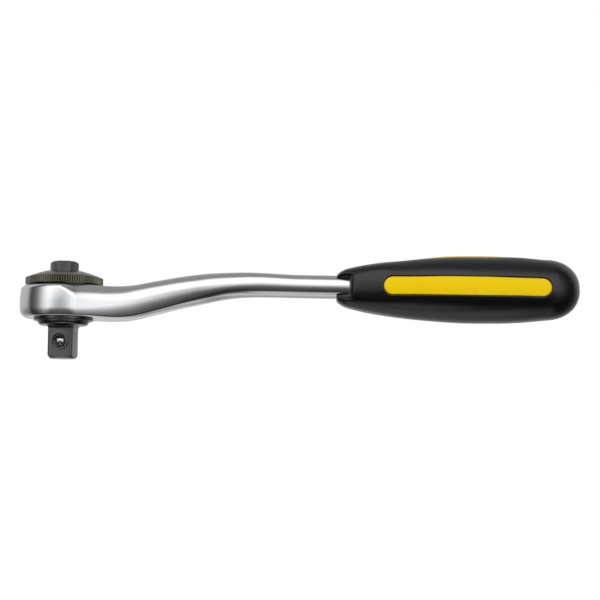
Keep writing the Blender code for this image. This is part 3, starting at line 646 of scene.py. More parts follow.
def grip_elastomer(colours):
    """Black moulded elastomer: a low sheen over a fine spark-eroded grain, slightly worn shiny in places."""
    made, tree, shader, place = start_finish(
        "black grip elastomer", Specular_IOR_Level=0.5, Sheen_Weight=0.3, Sheen_Roughness=0.35
    )
    tint(tree, shader, speckle(tree, place, 6 * MM, 3), colours.grip_black, 0.8, 1.25)
    vary(tree, shader, "Roughness", speckle(tree, place, 12 * MM, 3), 0.17, 0.24)
    emboss(tree, shader, speckle(tree, place, 0.35 * MM), 0.006 * MM)
    return made


def stripe_polypropylene(colours):
    """Yellow moulded plastic: an even, strong colour with a soft gloss and a faint flow pattern."""
    made, tree, shader, place = start_finish("yellow polypropylene", Specular_IOR_Level=0.06)
    tint(tree, shader, speckle(tree, place, 14 * MM), colours.grip_yellow, 0.95, 1.02)
    vary(tree, shader, "Roughness", speckle(tree, place, 5 * MM), 0.4, 0.5)
    emboss(tree, shader, speckle(tree, place, 0.4 * MM), 0.004 * MM)
    return made


def seal_rubber(colours):
    """Black nitrile of the seal under the disc: matt, with a dusty bloom."""
    made, tree, shader, place = start_finish("nitrile rubber")
    tint(tree, shader, speckle(tree, place, 1.5 * MM, 3), colours.grip_black, 0.8, 1.6)
    vary(tree, shader, "Roughness", speckle(tree, place, 0.8 * MM), 0.5, 0.65)
    return made


FINISH_MAKERS = {
    "satin chrome": satin_chrome,
    "black oxide steel": black_oxide,
    "phosphated steel": brown_phosphate,
    "hardened steel": bright_steel,
    "black grip elastomer": grip_elastomer,
    "yellow polypropylene": stripe_polypropylene,
    "nitrile rubber": seal_rubber,
}


def finish(context, name):
    """The material of this name, made when it is first asked for."""
    return bpy.data.materials.get(name) or FINISH_MAKERS[name](context.scene.ratchet_finishes)


# The forging's shape

def neck_half_width(sizes, x, start):
    """Half the forging's width along the neck and the shank."""
    return mix(sizes.neck_half_width, sizes.shank_radius, ease(x, start, NECK_WIDTH_END))


def forging_columns(sizes):
    """Places round one half of the plan outline, from the shank's end to the back of the head.

    Each is (point on the outline, way inward, distance to the middle), square to the outline.
    """
    reach = sizes.head_radius + sizes.neck_fillet
    fillet_y = sizes.neck_half_width + sizes.neck_fillet
    fillet_x = math.sqrt(reach ** 2 - fillet_y ** 2)
    meeting = math.atan2(fillet_y, fillet_x)
    columns = []
    for x in spread(sizes.shank_end, fillet_x, NECK_SECTIONS)[:-1]:
        half = neck_half_width(sizes, x, fillet_x)
        columns.append((Vector((x, half)), Vector((0, -1)), half))
    for turn in spread(-QUARTER, meeting - math.pi, FILLET_SECTIONS)[:-1]:
        inward = Vector((math.cos(turn), math.sin(turn)))
        place = Vector((fillet_x, fillet_y)) + inward * sizes.neck_fillet
        columns.append((place, inward, -place.y / inward.y))
    for turn in spread(meeting, math.pi, HEAD_SECTIONS):
        outward = Vector((math.cos(turn), math.sin(turn)))
        columns.append((outward * sizes.head_radius, -outward, sizes.head_radius))
    return columns


def lower_edge(x):
    """The head's lower edge from its wall to its bottom, as (in from the wall, up from the bottom)."""
    high = smooth_curve(LOWER_BEVEL, x)
    curve = smooth_curve(LOWER_CURVE, x)
    top = high + curve * math.sin(LOWER_LEAN)
    points = arc((curve, top), curve, math.pi, math.pi + LOWER_LEAN)
    inner = points[-1][0]
    return points + [(inner + across * high, up * high) for across, up in LOWER_BEVEL_FORM]


def upper_edges(sizes, across, upward):
    """Three forms of the upper edge from the top to the wall, as (in from the wall, up from the top).

    They are the head's small round, the bevel beside the neck and the neck's full round.
    """
    curve, lip = sizes.junction_curve, JUNCTION_LIP
    low = -lip - sizes.junction_height - curve * math.sin(JUNCTION_LEAN)
    bend = arc((curve, low), curve, math.pi - JUNCTION_LEAN, math.pi, 10)
    corner = bend[0][0] + sizes.junction_height * math.tan(JUNCTION_LEAN)
    reach = 2 * lip * math.tan(JUNCTION_LEAN)
    shares = spread(0, 1, 6)[:-1]
    bevel = [(corner + reach * (1 - share), -lip * share * share) for share in shares]
    bevel += [blended((corner, -lip), bend[0], share) for share in shares]
    bevel += bend
    small = arc((sizes.top_round, -sizes.top_round), sizes.top_round, QUARTER, math.pi, len(bevel))
    full = arc((across, -upward), across, QUARTER, math.pi, len(bevel), upward)
    return zip(small, bevel, full)


def forging_section(sizes, place, inward, depth):
    """Points of the forging's section at one place of its outline, from mid-top to mid-bottom."""
    bevel_share = ease(place.x, *BEVEL_BLEND)
    top_share = ease(place.x, *TOP_ROUND_BLEND)
    lower_share = ease(place.x, *LOWER_ROUND_BLEND)
    half = smooth_curve(NECK_HALF_HEIGHT, place.x)
    middle = smooth_curve(NECK_MIDDLE, place.x)
    full = FULLEST_ROUND * min(depth, sizes.neck_half_width)
    full_up = FULLEST_ROUND * half
    crown = sizes.head_crown * (1 - bevel_share)

    def inset(up):
        return crown * max(middle + up - HEAD_PEAK, 0.0) ** 2

    top = []
    for small, bevel, round_edge in upper_edges(sizes, full, full_up):
        back, up = blended(blended(small, bevel, bevel_share), round_edge, top_share)
        top.append((back + inset(half + up), half + up))
    edge = lower_edge(place.x)
    rounded = arc((full, full_up), full, math.pi, 3 * QUARTER, len(edge), full_up)
    bottom = []
    for sharp, round_edge in zip(edge, rounded):
        back, up = blended(sharp, round_edge, lower_share)
        bottom.append((back, up - half))
    wall = [(inset(up), up) for up in spread(top[-1][1], bottom[0][1], WALL_POINTS)[1:-1]]
    outline = [(depth, half), ((depth + top[0][0]) / 2, half)] + top + wall + bottom
    outline += [((depth + bottom[-1][0]) / 2, -half), (depth, -half)]
    points = []
    for back, up in outline:
        spot = place + inward * back
        tall = smooth_curve(NECK_HALF_HEIGHT, spot.x) / half
        points.append(Vector((spot.x, spot.y, smooth_curve(NECK_MIDDLE, spot.x) + up * tall)))
    return points


def round_section(x, radius, like):
    """A round section of the tang, with as many points as another section."""
    turns = spread(QUARTER, -QUARTER, len(like))
    return [Vector((x, radius * math.cos(turn), GRIP_AXIS + radius * math.sin(turn))) for turn in turns]


def forging_skin(sizes):
    """The whole outside of the forging, head to tang, as one closed skin."""
    sections = [forging_section(sizes, *column) for column in forging_columns(sizes)]
    tip = [round_section(TANG_END, radius, sections[0]) for radius in (0, TANG_RADIUS)]
    sections = tip + [round_section(sizes.shank_end, TANG_RADIUS, sections[0])] + sections
    other_side = [[Vector((p.x, -p.y, p.z)) for p in section] for section in reversed(sections)]
    bm = bmesh.new()
    weave(bm, sections + other_side, round_points=False)
    return piece("head_and_shank", bm)


# The repeated shapes

def ring_of_copies():
    """Geometry nodes that set copies of one shape round the drive axis."""
    tree = bpy.data.node_groups.new("Ring of copies", "GeometryNodeTree")
    inputs = {"Shape": "Geometry", "Count": "Int", "First turn": "Float", "Finish": "Material"}
    for name, kind in inputs.items():
        tree.interface.new_socket(name, in_out="INPUT", socket_type=f"NodeSocket{kind}")
    tree.interface.new_socket("Ring", in_out="OUTPUT", socket_type="NodeSocketGeometry")
    given = add_node(tree, "NodeGroupInput").outputs
    points = add_node(tree, "GeometryNodeMeshLine", {"Count": given["Count"], "Offset": (0, 0, 0)})
    place = add_node(tree, "GeometryNodeInputIndex")
    step = add_node(tree, "ShaderNodeMath", {0: math.tau, 1: given["Count"]}, operation="DIVIDE")
    turn = add_node(
        tree, "ShaderNodeMath", {0: place.outputs[0], 1: step.outputs[0], 2: given["First turn"]},
        operation="MULTIPLY_ADD",
    )
    spin = add_node(tree, "ShaderNodeCombineXYZ", {"Z": turn.outputs[0]})
    copies = add_node(
        tree, "GeometryNodeInstanceOnPoints",
        {"Points": points.outputs[0], "Instance": given["Shape"], "Rotation": spin.outputs[0]},
    )
    real = add_node(tree, "GeometryNodeRealizeInstances", {"Geometry": copies.outputs[0]})
    painted = add_node(
        tree, "GeometryNodeSetMaterial", {"Geometry": real.outputs[0], "Material": given["Finish"]}
    )
    add_node(tree, "NodeGroupOutput", {"Ring": painted.outputs[0]})
    return tree


def repeat_round(made, count, first_turn, finish_used):
    """Repeats a shape round the drive axis and keeps the result as its mesh."""
    tree = bpy.data.node_groups.get("Ring of copies") or ring_of_copies()
    modifier = made.modifiers.new("Ring", "NODES")
    values = {"Count": count, "First turn": first_turn, "Finish": finish_used}
    modifier.node_group = tree
    for socket in tree.interface.items_tree:
        if socket.name in values:
            modifier[socket.identifier] = values[socket.name]
    settle(made)


def tooth(name, count, root, tip, bottom, top, form):
    """One of a ring of teeth or ridges, on the +X side, with ends that slope in."""
    sink, root_share, tip_share, lead = form
    pitch = math.tau * root / count
    wide, narrow = root_share * pitch, tip_share * pitch
    root -= math.copysign(sink, tip - root)
    outlines = []
    for height, reach in ((bottom, root), (bottom + lead, tip), (top - lead, tip), (top, root)):
        edge = mix(root, reach, TOOTH_SHOULDER)
        corners = [(root, -wide), (edge, -narrow), (reach, 0), (edge, narrow), (root, wide)]
        outlines.append([Vector((*corner, height)) for corner in corners])
    return stacked(name, outlines)


# The drive's shape

def rounded_outline(sides, flat, corner, height, turn, bulge=0.0):
    """A regular outline at one height, with rounded corners and flats that may be crowned."""
    half = math.pi / sides
    reach = (flat - corner) / math.cos(half)
    points = []
    for i in range(sides):
        middle = turn + (2 * i + 1) * half
        centre = (reach * math.cos(middle), reach * math.sin(middle))
        points += arc(centre, corner, middle - half, middle + half, 8)
        out = Vector((math.cos(middle + half), math.sin(middle + half)))
        side = Vector((-out.y, out.x)) * reach * math.sin(half)
        if bulge:
            points += [out * (flat + bulge * (1 - s * s)) + side * s for s in spread(-1, 1, 9)[1:-1]]
    return [Vector((x, y, height)) for x, y in points]


def square_drive(sizes):
    """The square, flared into its flange."""
    half = sizes.square_side / 2
    reach = FLARE_SHARE * sizes.root_fillet
    start = (reach, JOURNAL_BOTTOM - sizes.root_fillet)
    flare = arc(start, reach, math.pi, QUARTER, rise=sizes.root_fillet)
    outlines = []
    for out, height in [(0, 0), *flare, (reach, JOURNAL_BOTTOM + MM)]:
        corner = sizes.square_corner * (1 + FLARE_CORNER * out / MM)
        outlines.append(rounded_outline(4, half + out, corner, height, DRIVE_TURN))
    return stacked("square", outlines)


def drive_place():
    """Turns a shape with the drive."""
    return Matrix.Rotation(DRIVE_TURN, 4, "Z")


def facing_ball():
    """Turns a shape's Z axis to the way that the ball looks."""
    return drive_place() @ Matrix.Translation((0, 0, BALL_HEIGHT)) @ Matrix.Rotation(QUARTER, 4, "X")


def coil(name, place, low, high, radius, wire, turns):
    """A helix of round wire about a place's Z axis, from one height to another."""
    section = arc((0, 0), wire, 0, math.tau, WIRE_POINTS)[:-1]
    rows = []
    for share in spread(0, 1, round(COIL_STEPS * abs(turns)) + 1):
        turn = math.tau * turns * share
        out = Vector((math.cos(turn), math.sin(turn), 0))
        middle = out * radius + Vector((0, 0, mix(low, high, share)))
        rows.append([place @ (middle + out * x + Vector((0, 0, y))) for x, y in section])
    return stacked(name, rows)


def ball_lip(sizes):
    """The raised lip between the ball's mouth and the groove staked round it."""
    face = sizes.square_side / 2
    inner = sizes.ball_mouth + BALL_SINK
    outer = sizes.stake_radius - sizes.stake_width / 2
    crest = arc(((inner + outer) / 2, face), (outer - inner) / 2, 0, math.pi, rise=sizes.lip_height)
    profile = [(inner, face - BALL_SINK), (outer, face - BALL_SINK)] + crest
    return turned("ball_lip", profile, facing_ball(), SMALL_STEPS)


def drive_cutters(sizes):
    """The turned end, the pawls' slot, the stem's bore, the ball's bore and the groove round its mouth."""
    face = sizes.square_side / 2
    flat, wide = sizes.end_radius, sizes.square_side
    end = [(flat, -PAST), (wide, -PAST), (wide, (wide - flat) * math.tan(sizes.end_slope)), (flat, 0)]
    reach = 2 * CARRIER_RADIUS
    low = (-reach, -SLOT_HALF_WIDTH, SLOT_BOTTOM)
    high = (reach, SLOT_HALF_WIDTH, SLOT_TOP)
    stem_bore = band(0, STEM_BORE, STEM_BORE_BOTTOM, TOP_JOURNAL_END + PAST)
    mouth = sizes.ball_mouth + BALL_SINK
    ball_bore = [
        (0, -BALL_BORE_END), (BALL_BORE, -BALL_BORE_END), (BALL_BORE, face - BALL_MOUTH_DEPTH),
        (sizes.ball_mouth, face - BALL_SINK), (mouth, face), (mouth, face + MM), (0, face + MM),
    ]
    half = sizes.stake_width / 2
    groove = [(sizes.stake_radius + half, face + MM)]
    groove += arc((sizes.stake_radius, face), half, 0, -math.pi, rise=sizes.stake_depth)
    groove.append((sizes.stake_radius - half, face + MM))
    return [
        turned("turned_end", end),
        block("pawl_slot", low, high, drive_place()),
        turned("stem_bore", stem_bore, steps=SMALL_STEPS),
        turned("ball_bore", ball_bore, facing_ball(), SMALL_STEPS),
        turned("stake_groove", groove, facing_ball(), SMALL_STEPS),
    ]


# The grip's shape

def grip_radius(x):
    """Radius of the grip's outline, with its round butt."""
    if x <= BUTT_START:
        return smooth_curve(GRIP_OUTLINE, x, level_ends=False)
    share = min((x - BUTT_START) / BUTT_LENGTH, 1.0)
    straight = BUTT_RADIUS - BUTT_TAPER * (x - BUTT_START)
    return straight * (1 - share ** BUTT_FULLNESS) ** (1 / BUTT_FULLNESS)


def skin_radius(sizes, x, turn):
    """Radius of the grip's skin at this turn: squared beside the mouth, and round behind it."""
    power = mix(sizes.squareness, 2.0, ease(x, *SQUARED_SPAN))
    return grip_radius(x) * (abs(math.cos(turn)) ** power + abs(math.sin(turn)) ** power) ** (-1 / power)


def grip_spot(x, turn, radius):
    """A point beside the grip's axis, rolled with the grip."""
    turn -= GRIP_ROLL
    return Vector((x, radius * math.cos(turn), GRIP_AXIS + radius * math.sin(turn)))


def skin_spot(x, turn, radius):
    """A point on the grip's skin, raised with its back and belly."""
    spot = grip_spot(x, turn, radius)
    spot.z += smooth_curve(GRIP_RISE, x) * math.sin(turn - GRIP_ROLL) ** 2
    return spot


def skin_row(sizes, places, turns, ridges):
    """A row of points on the skin, with the mould's line raised from it."""
    return [
        skin_spot(x, turn, skin_radius(sizes, x, turn) + ridge)
        for x, turn, ridge in zip(places, turns, ridges)
    ]


def stripe_spot(sizes, place, x, across, lift):
    """A point on or near the skin beside a stripe's middle line."""
    turn = place + math.asin(across / grip_radius(x))
    return skin_spot(x, turn, skin_radius(sizes, x, turn) + lift)


def patch_span(sizes):
    """Where the finer skin round the stripes starts and ends."""
    return sizes.stripe_start - PATCH_MARGIN, sizes.stripe_end + PATCH_MARGIN


def grip_columns():
    """Lines along the grip: (stripe's turn, share of the patch, next stripe's turn, share of the gap)."""
    shares = sorted(set(spread(-1, 1, PATCH_LINES)) | PARTING_SHARES)
    turns = list(STRIPE_PLACES.values())
    columns = []
    for place, following, count in zip(turns, turns[1:] + [math.tau], GAP_LINES):
        columns += [(place, share, None, None) for share in shares]
        columns += [(place, 1, following, share) for share in spread(0, 1, count)[1:-1]]
    return columns, len(shares)


def column_turn(column, radius):
    """Turn of one line where the grip has this radius."""
    place, share, following, gap = column
    start = place + math.asin(share * PATCH_HALF_WIDTH / radius)
    if following is None:
        return start
    return mix(start, following - math.asin(PATCH_HALF_WIDTH / radius), gap)


def mouth_front(sizes, turn):
    """Where the skin starts at this turn, and how long its rounding is."""
    from_side = math.asin(min(abs(math.sin(turn)), 1.0))
    share = ease(from_side, *MOUTH_TURN)
    return mix(SIDE_MOUTH, GRIP_LOW.x, share), mix(sizes.side_round, sizes.tongue_round, share)


def grip_rows(sizes, columns):
    """Rows of points from the hole's floor, out over the mouth and along the skin to the butt.

    It also returns the rows between which the stripes' patches lie.
    """
    start, end = patch_span(sizes)
    turns = [column_turn(column, grip_radius(start)) for column in columns]
    ridges = [sizes.parting_line if c[1] == 0 and c[0] in (0.0, math.pi) else 0.0 for c in columns]
    fronts = [mouth_front(sizes, turn) for turn in turns]
    floor = TANG_END + MM
    hole = [(floor, 0), (floor, HOLE_RADIUS), (HOLE_STEP, HOLE_RADIUS), (HOLE_STEP, sizes.lip_radius)]
    rows = [[grip_spot(x, turn, radius) for turn in turns] for x, radius in hole]
    for bend in spread(0, QUARTER, MOUTH_ROWS):
        row = []
        for turn, ridge, (front, soft) in zip(turns, ridges, fronts):
            x = front + soft * (1 - math.cos(bend))
            radius = mix(sizes.lip_radius, skin_radius(sizes, x, turn), math.sin(bend))
            row.append(skin_spot(x, turn, radius + ridge * math.sin(bend)))
        rows.append(row)
    for share in spread(0, 1, FRONT_ROWS)[1:]:
        places = [mix(front + soft, start, share) for front, soft in fronts]
        rows.append(skin_row(sizes, places, turns, ridges))
    first = len(rows) - 1
    half = sizes.stripe_width / 2
    stops = [start, sizes.stripe_start + half, sizes.stripe_end - half, end]
    counts = (PATCH_END_ROWS, PATCH_MIDDLE_ROWS, PATCH_END_ROWS)
    for near, far, count in zip(stops, stops[1:], counts):
        for x in spread(near, far, count)[1:]:
            turns = [column_turn(column, grip_radius(x)) for column in columns]
            rows.append(skin_row(sizes, [x] * len(columns), turns, ridges))
    last = len(rows) - 1
    # The butt keeps the turns of the last of those rows
    bend_start = math.asin(((end - BUTT_START) / BUTT_LENGTH) ** (BUTT_FULLNESS / 2))
    for bend in spread(bend_start, QUARTER, BUTT_ROWS)[1:]:
        x = BUTT_START + BUTT_LENGTH * math.sin(bend) ** (2 / BUTT_FULLNESS)
        rows.append(skin_row(sizes, [x] * len(columns), turns, [ridge * math.cos(bend) for ridge in ridges]))
    return rows, first, last


def patch_edge(rows_x, shares):
    """Places round a stripe's patch, as (along the handle, across the stripe)."""
    sides = [share * PATCH_HALF_WIDTH for share in shares]
    edge = [(x, sides[0]) for x in rows_x]
    edge += [(rows_x[-1], across) for across in sides[1:-1]]
    edge += [(x, sides[-1]) for x in reversed(rows_x)]
    edge += [(rows_x[0], across) for across in reversed(sides[1:-1])]
    return edge


def crest(sizes, x):
    """How far a stripe stands out along its length: proud in the middle, and sunk at both ends."""
    half_length = (sizes.stripe_end - sizes.stripe_start) / 2
    share = (x - sizes.stripe_start) / half_length - 1
    return sizes.stripe_crest - STRIPE_SINK * ease(abs(share), *STRIPE_SINK_SPAN)


def stripe_loop(sizes, place, edge, outside, lift, crested=0.0):
    """A loop that runs round a stripe at this distance outside its outline."""
    half = sizes.stripe_width / 2
    points = []
    for x, across in edge:
        middle = min(max(x, sizes.stripe_start + half), sizes.stripe_end - half)
        way = Vector((x - middle, across)).normalized()
        spot = Vector((middle, 0)) + way * (half + outside)
        points.append(stripe_spot(sizes, place, spot.x, spot.y, lift + crested * crest(sizes, spot.x)))
    return points


def close_loop(bm, loop, row_count):
    """Closes a narrow loop from one long side to the other."""
    end_count = len(loop) // 2 - row_count
    side = loop[:row_count]
    other = loop[row_count + end_count:2 * row_count + end_count][::-1]
    for i in range(row_count - 1):
        bm.faces.new((side[i], side[i + 1], other[i + 1], other[i]))
    bm.faces.new([side[-1]] + loop[row_count:row_count + end_count] + [other[-1]])
    bm.faces.new([other[0]] + loop[2 * row_count + end_count:] + [side[0]])


def lace(bm, first, second):
    """Joins two closed loops of vertices."""
    for i in range(len(first)):
        k = (i + 1) % len(first)
        bm.faces.new((first[i], first[k], second[k], second[i]))


# The rounded lip and the pocket that a stripe lies in, in millimetres: (outside its outline, over the skin)
POCKET = [
    (1.3, 0), (0.8, 0), (0.55, -0.02), (0.4, -0.07), (0.27, -0.16), (0.17, -0.3), (0.12, -0.45),
    (0.1, -1.0), (-0.6, -1.0), (-4.4, -1.0),
]
# A stripe's foot, side, rounded edge and slightly crowned top, in the same way
STRIPE_FOOT = -0.95
STRIPE = [
    (-4.4, STRIPE_FOOT), (-0.06, STRIPE_FOOT), (-0.06, -0.4), (-0.09, -0.24), (-0.18, -0.11), (-0.32, -0.04),
    (-0.5, 0.0), (-1.2, 0.04), (-2.4, 0.08), (-3.6, 0.1), (-4.4, 0.1),
]


def grip_skin(sizes):
    """The black grip: mouth, skin, three pockets for the stripes and a hole for the tang."""
    columns, wide = grip_columns()
    shares = [column[1] for column in columns[:wide]]
    rows, first, last = grip_rows(sizes, columns)
    starts = [i for i, column in enumerate(columns) if column[1] == -1]
    bm = bmesh.new()
    made = [add_points(bm, row) for row in rows]
    count = len(columns)
    patches = {start + k for start in starts for k in range(wide - 1)}
    for i in range(len(made) - 1):
        for k in range(count):
            if k in patches and first <= i < last:
                continue
            following = (k + 1) % count
            bm.faces.new((made[i][k], made[i + 1][k], made[i + 1][following], made[i][following]))
    rows_x = [rows[i][0].x for i in range(first, last + 1)]
    edge = patch_edge(rows_x, shares)
    for start, place in zip(starts, STRIPE_PLACES.values()):
        low, high = start, start + wide - 1
        loop = [made[i][low] for i in range(first, last + 1)]
        loop += [made[last][k] for k in range(low + 1, high)]
        loop += [made[i][high] for i in range(last, first - 1, -1)]
        loop += [made[first][k] for k in range(high - 1, low, -1)]
        for outside, lift in POCKET:
            inner = add_points(bm, stripe_loop(sizes, place, edge, outside * MM, lift * MM))
            lace(bm, loop, inner)
            loop = inner
        close_loop(bm, loop, len(rows_x))
    loose = [vert for vert in bm.verts if not vert.link_faces]
    bmesh.ops.delete(bm, geom=loose, context="VERTS")
    return piece("grip_cover_skin", bm), edge, len(rows_x)


def grip_stripe(sizes, name, place, edge, row_count):
    """One yellow stripe, lying in its pocket."""
    bm = bmesh.new()
    loops = []
    for outside, lift in STRIPE:
        crested = 0.0 if lift == STRIPE_FOOT else 1.0
        points = stripe_loop(sizes, place, edge, outside * MM, lift * MM, crested)
        loops.append(add_points(bm, points))
    close_loop(bm, loops[0], row_count)
    for lower, upper in zip(loops, loops[1:]):
        lace(bm, lower, upper)
    close_loop(bm, loops[-1], row_count)
    return piece(f"stripe_{name}", bm)


# Operators, one for each piece or group of like pieces

class RATCHET_OT_forging(bpy.types.Operator):
    """Makes the head, neck and shank, with the bore and the seal's groove in the head."""

    bl_idname = "ratchet.forging"
    bl_label = "Head and shank"

    def execute(self, context):
        forging = forging_skin(context.scene.ratchet_forging)
        top = HEX_HIGH.z
        bore = band(0, RING_BORE, 0, WEB_BOTTOM)[:-1] + band(0, TOP_BORE, WEB_BOTTOM, top)[1:]
        groove = band(*SEAL_GROOVE, SEAL_GROOVE_BOTTOM, top)
        cutters = [turned("bore", bore), turned("seal_groove", groove)]
        combine(forging, *[("DIFFERENCE", cutter) for cutter in cutters])
        dress(forging, finish(context, "satin chrome"), "body", "satin_chrome", "ratchet_body")
        return {"FINISHED"}


class RATCHET_OT_teeth(bpy.types.Operator):
    """Makes the ring of teeth inside the head."""

    bl_idname = "ratchet.teeth"
    bl_label = "Tooth ring"

    def execute(self, context):
        count = context.scene.ratchet_forging.teeth
        steel = finish(context, "hardened steel")
        ring = tooth("tooth_ring", count, RING_BORE, TOOTH_TIP, TEETH_BOTTOM, TEETH_TOP, TOOTH_FORM)
        repeat_round(ring, count, math.pi / count, steel)
        dress(ring, steel, "body", "hardened_steel")
        return {"FINISHED"}


class RATCHET_OT_retaining_ring(bpy.types.Operator):
    """Makes the black ring that holds the drive in the head."""

    bl_idname = "ratchet.retaining_ring"
    bl_label = "Retaining ring"

    def execute(self, context):
        profile = band(JOURNAL_RADIUS + RING_PLAY, RING_HIGH.x, RING_LOW.z, RING_HIGH.z)
        ring = turned("lock_ring", profile)
        soften(ring, RING_ROUND, 4)
        dress(ring, finish(context, "black oxide steel"), "body", "blackened_steel", "retaining_ring")
        return {"FINISHED"}


class RATCHET_OT_drive(bpy.types.Operator):
    """Makes the square drive with its flange, and the carrier above it."""

    bl_idname = "ratchet.drive"
    bl_label = "Square drive"

    def execute(self, context):
        sizes = context.scene.ratchet_drive
        foot = (JOURNAL_RADIUS - JOURNAL_ROUND, JOURNAL_BOTTOM + JOURNAL_ROUND)
        profile = [(0, JOURNAL_BOTTOM)] + arc(foot, JOURNAL_ROUND, -QUARTER, 0, 12)
        profile += [
            (JOURNAL_RADIUS, CARRIER_BOTTOM), (CARRIER_RADIUS, CARRIER_BOTTOM), (CARRIER_RADIUS, CARRIER_TOP),
            (TOP_JOURNAL, CARRIER_TOP), (TOP_JOURNAL, TOP_JOURNAL_END), (0, TOP_JOURNAL_END),
        ]
        drive = turned("drive_square", profile)
        steps = [("UNION", square_drive(sizes)), ("UNION", ball_lip(sizes))]
        steps += [("DIFFERENCE", cutter) for cutter in drive_cutters(sizes)]
        combine(drive, *steps)
        dress(drive, finish(context, "black oxide steel"), "drive", "blackened_steel", "drive_anvil")
        return {"FINISHED"}


class RATCHET_OT_ball(bpy.types.Operator):
    """Makes the sprung ball in the square's near face."""

    bl_idname = "ratchet.ball"
    bl_label = "Spring ball"

    def execute(self, context):
        profile = arc((0, BALL_PLACE), BALL_RADIUS, -QUARTER, QUARTER, 36)
        ball = turned("spring_ball", profile, facing_ball(), SMALL_STEPS)
        dress(ball, finish(context, "hardened steel"), "ball", "hardened_steel", "detent_ball")
        return {"FINISHED"}


class RATCHET_OT_springs(bpy.types.Operator):
    """Makes the springs between the pieces that they push apart."""

    bl_idname = "ratchet.springs"
    bl_label = "Springs"

    def execute(self, context):
        sizes = context.scene.ratchet_springs
        steel = finish(context, "hardened steel")
        place = facing_ball()
        near = BALL_PLACE - BALL_RADIUS - sizes.end_gap - sizes.ball_wire
        far = sizes.end_gap + sizes.ball_wire - BALL_BORE_END
        spring = coil("ball_spring", place, near, far, sizes.ball_coil, sizes.ball_wire, sizes.ball_turns)
        dress(spring, steel, None, "hardened_steel", "detent_spring")
        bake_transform(spring)
        height = Matrix.Translation((0, 0, PLUNGER_HEIGHT))
        place = drive_place() @ height @ Matrix.Rotation(QUARTER, 4, "Y")
        reach = PLUNGER_INNER_END - sizes.end_gap - sizes.plunger_wire
        for name, side in (("front", -1), ("rear", 1)):
            end = side * reach
            spring = coil(
                f"plunger_spring_{name}", place, 0, end, sizes.plunger_coil, sizes.plunger_wire,
                side * sizes.plunger_turns,
            )
            dress(spring, steel, None, "hardened_steel", "plunger_spring")
            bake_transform(spring)
        return {"FINISHED"}


class RATCHET_OT_disc(bpy.types.Operator):
    """Makes the reversing disc with its knurled rim."""

    bl_idname = "ratchet.disc"
    bl_label = "Reversing disc"

    def execute(self, context):
        sizes = context.scene.ratchet_selector
        tip = DISC_HIGH.x
        root = tip - sizes.ridge_height
        bottom, top = DISC_LOW.z, DISC_HIGH.z
        rim_top = bottom + RIM_BOTTOM * MM + sizes.rim_height
        rim = beside(DISC_FOOT, root, bottom) + beside(DISC_RIM_EDGE, root, rim_top)
        cone = beside(DISC_CONE, 0, rim_top) + beside(DISC_CROWN, 0, top)
        profile = [(DISC_BORE, bottom), *rim, *cone, (DISC_BORE, top)]
        disc = turned("disc_knurled", profile, steps=2 * sizes.ridges)
        phosphate = finish(context, "phosphated steel")
        ridge = tooth("ridge", sizes.ridges, root, tip, bottom + KNURL_BOTTOM, rim_top, RIDGE_FORM)
        repeat_round(ridge, sizes.ridges, 0.0, phosphate)
        join(disc, ridge)
        finish_shading(disc)
        dress(disc, phosphate, "selector", "blackened_steel", "reversing_disc")
        return {"FINISHED"}


class RATCHET_OT_hexagon(bpy.types.Operator):
    """Makes the hexagon on top of the disc."""

    bl_idname = "ratchet.hexagon"
    bl_label = "Hexagon"

    def execute(self, context):
        sizes = context.scene.ratchet_selector
        bottom, top = DISC_HIGH.z, HEX_HIGH.z
        flat = sizes.hex_flats / 2
        outlines = [
            rounded_outline(6, flat - sizes.hex_bulge, sizes.hex_edge, height, math.pi / 6, sizes.hex_bulge)
            for height in (bottom, top)
        ]
        hexagon = stacked("hex_head", outlines)
        clear = [(2 * flat, bottom + HEX_CLEAR[0]), (2 * flat, top - HEX_CLEAR[1])]
        lens = [(0, bottom - MM), *beside(HEX_FOOT, flat, bottom), *clear]
        lens += [*beside(HEX_CHAMFER, flat, top), (0, top)]
        shank = turned("screw_shank", band(0, SCREW_RADIUS, HEX_LOW.z, bottom + MM), steps=SCREW_STEPS)
        combine(hexagon, ("INTERSECT", turned("chamfer", lens)), ("UNION", shank))
        dress(hexagon, finish(context, "black oxide steel"), "selector", "blackened_steel", "hex_screw")
        return {"FINISHED"}


class RATCHET_OT_grip(bpy.types.Operator):
    """Makes the black grip and the yellow stripes in its near, far and upper sides."""

    bl_idname = "ratchet.grip"
    bl_label = "Grip and stripes"

    def execute(self, context):
        sizes = context.scene.ratchet_grip
        cover, edge, row_count = grip_skin(sizes)
        dress(cover, finish(context, "black grip elastomer"), "body", "black_grip", "grip_cover")
        for name, place in STRIPE_PLACES.items():
            stripe = grip_stripe(sizes, name, place, edge, row_count)
            dress(stripe, finish(context, "yellow polypropylene"), "body", "yellow_core", "grip_core")
        return {"FINISHED"}


class RATCHET_OT_works(bpy.types.Operator):
    """Gives the pawls, plungers, pins and seal inside their finishes."""

    bl_idname = "ratchet.works"
    bl_label = "Inner works"

    def execute(self, context):
        for name, node in frame["nodes"].items():
            if node.hide_render:
                continue
            used = finish(context, "nitrile rubber" if name == "dust_seal" else "hardened steel")
            for slot in node.material_slots:
                slot.link = "OBJECT"
                slot.material = used
        return {"FINISHED"}


# The studio

# Half the floor's side and its colour, the light's place from the target and its size, and the width of the
# camera's sensor in millimetres
FLOOR_HALF = 4.0
FLOOR_TONE = "F2F2F2"
KEY_PLACE = Vector((0, -0.75, 0.55))
KEY_SIZE = (1.4, 0.7)
SENSOR_WIDTH = 36


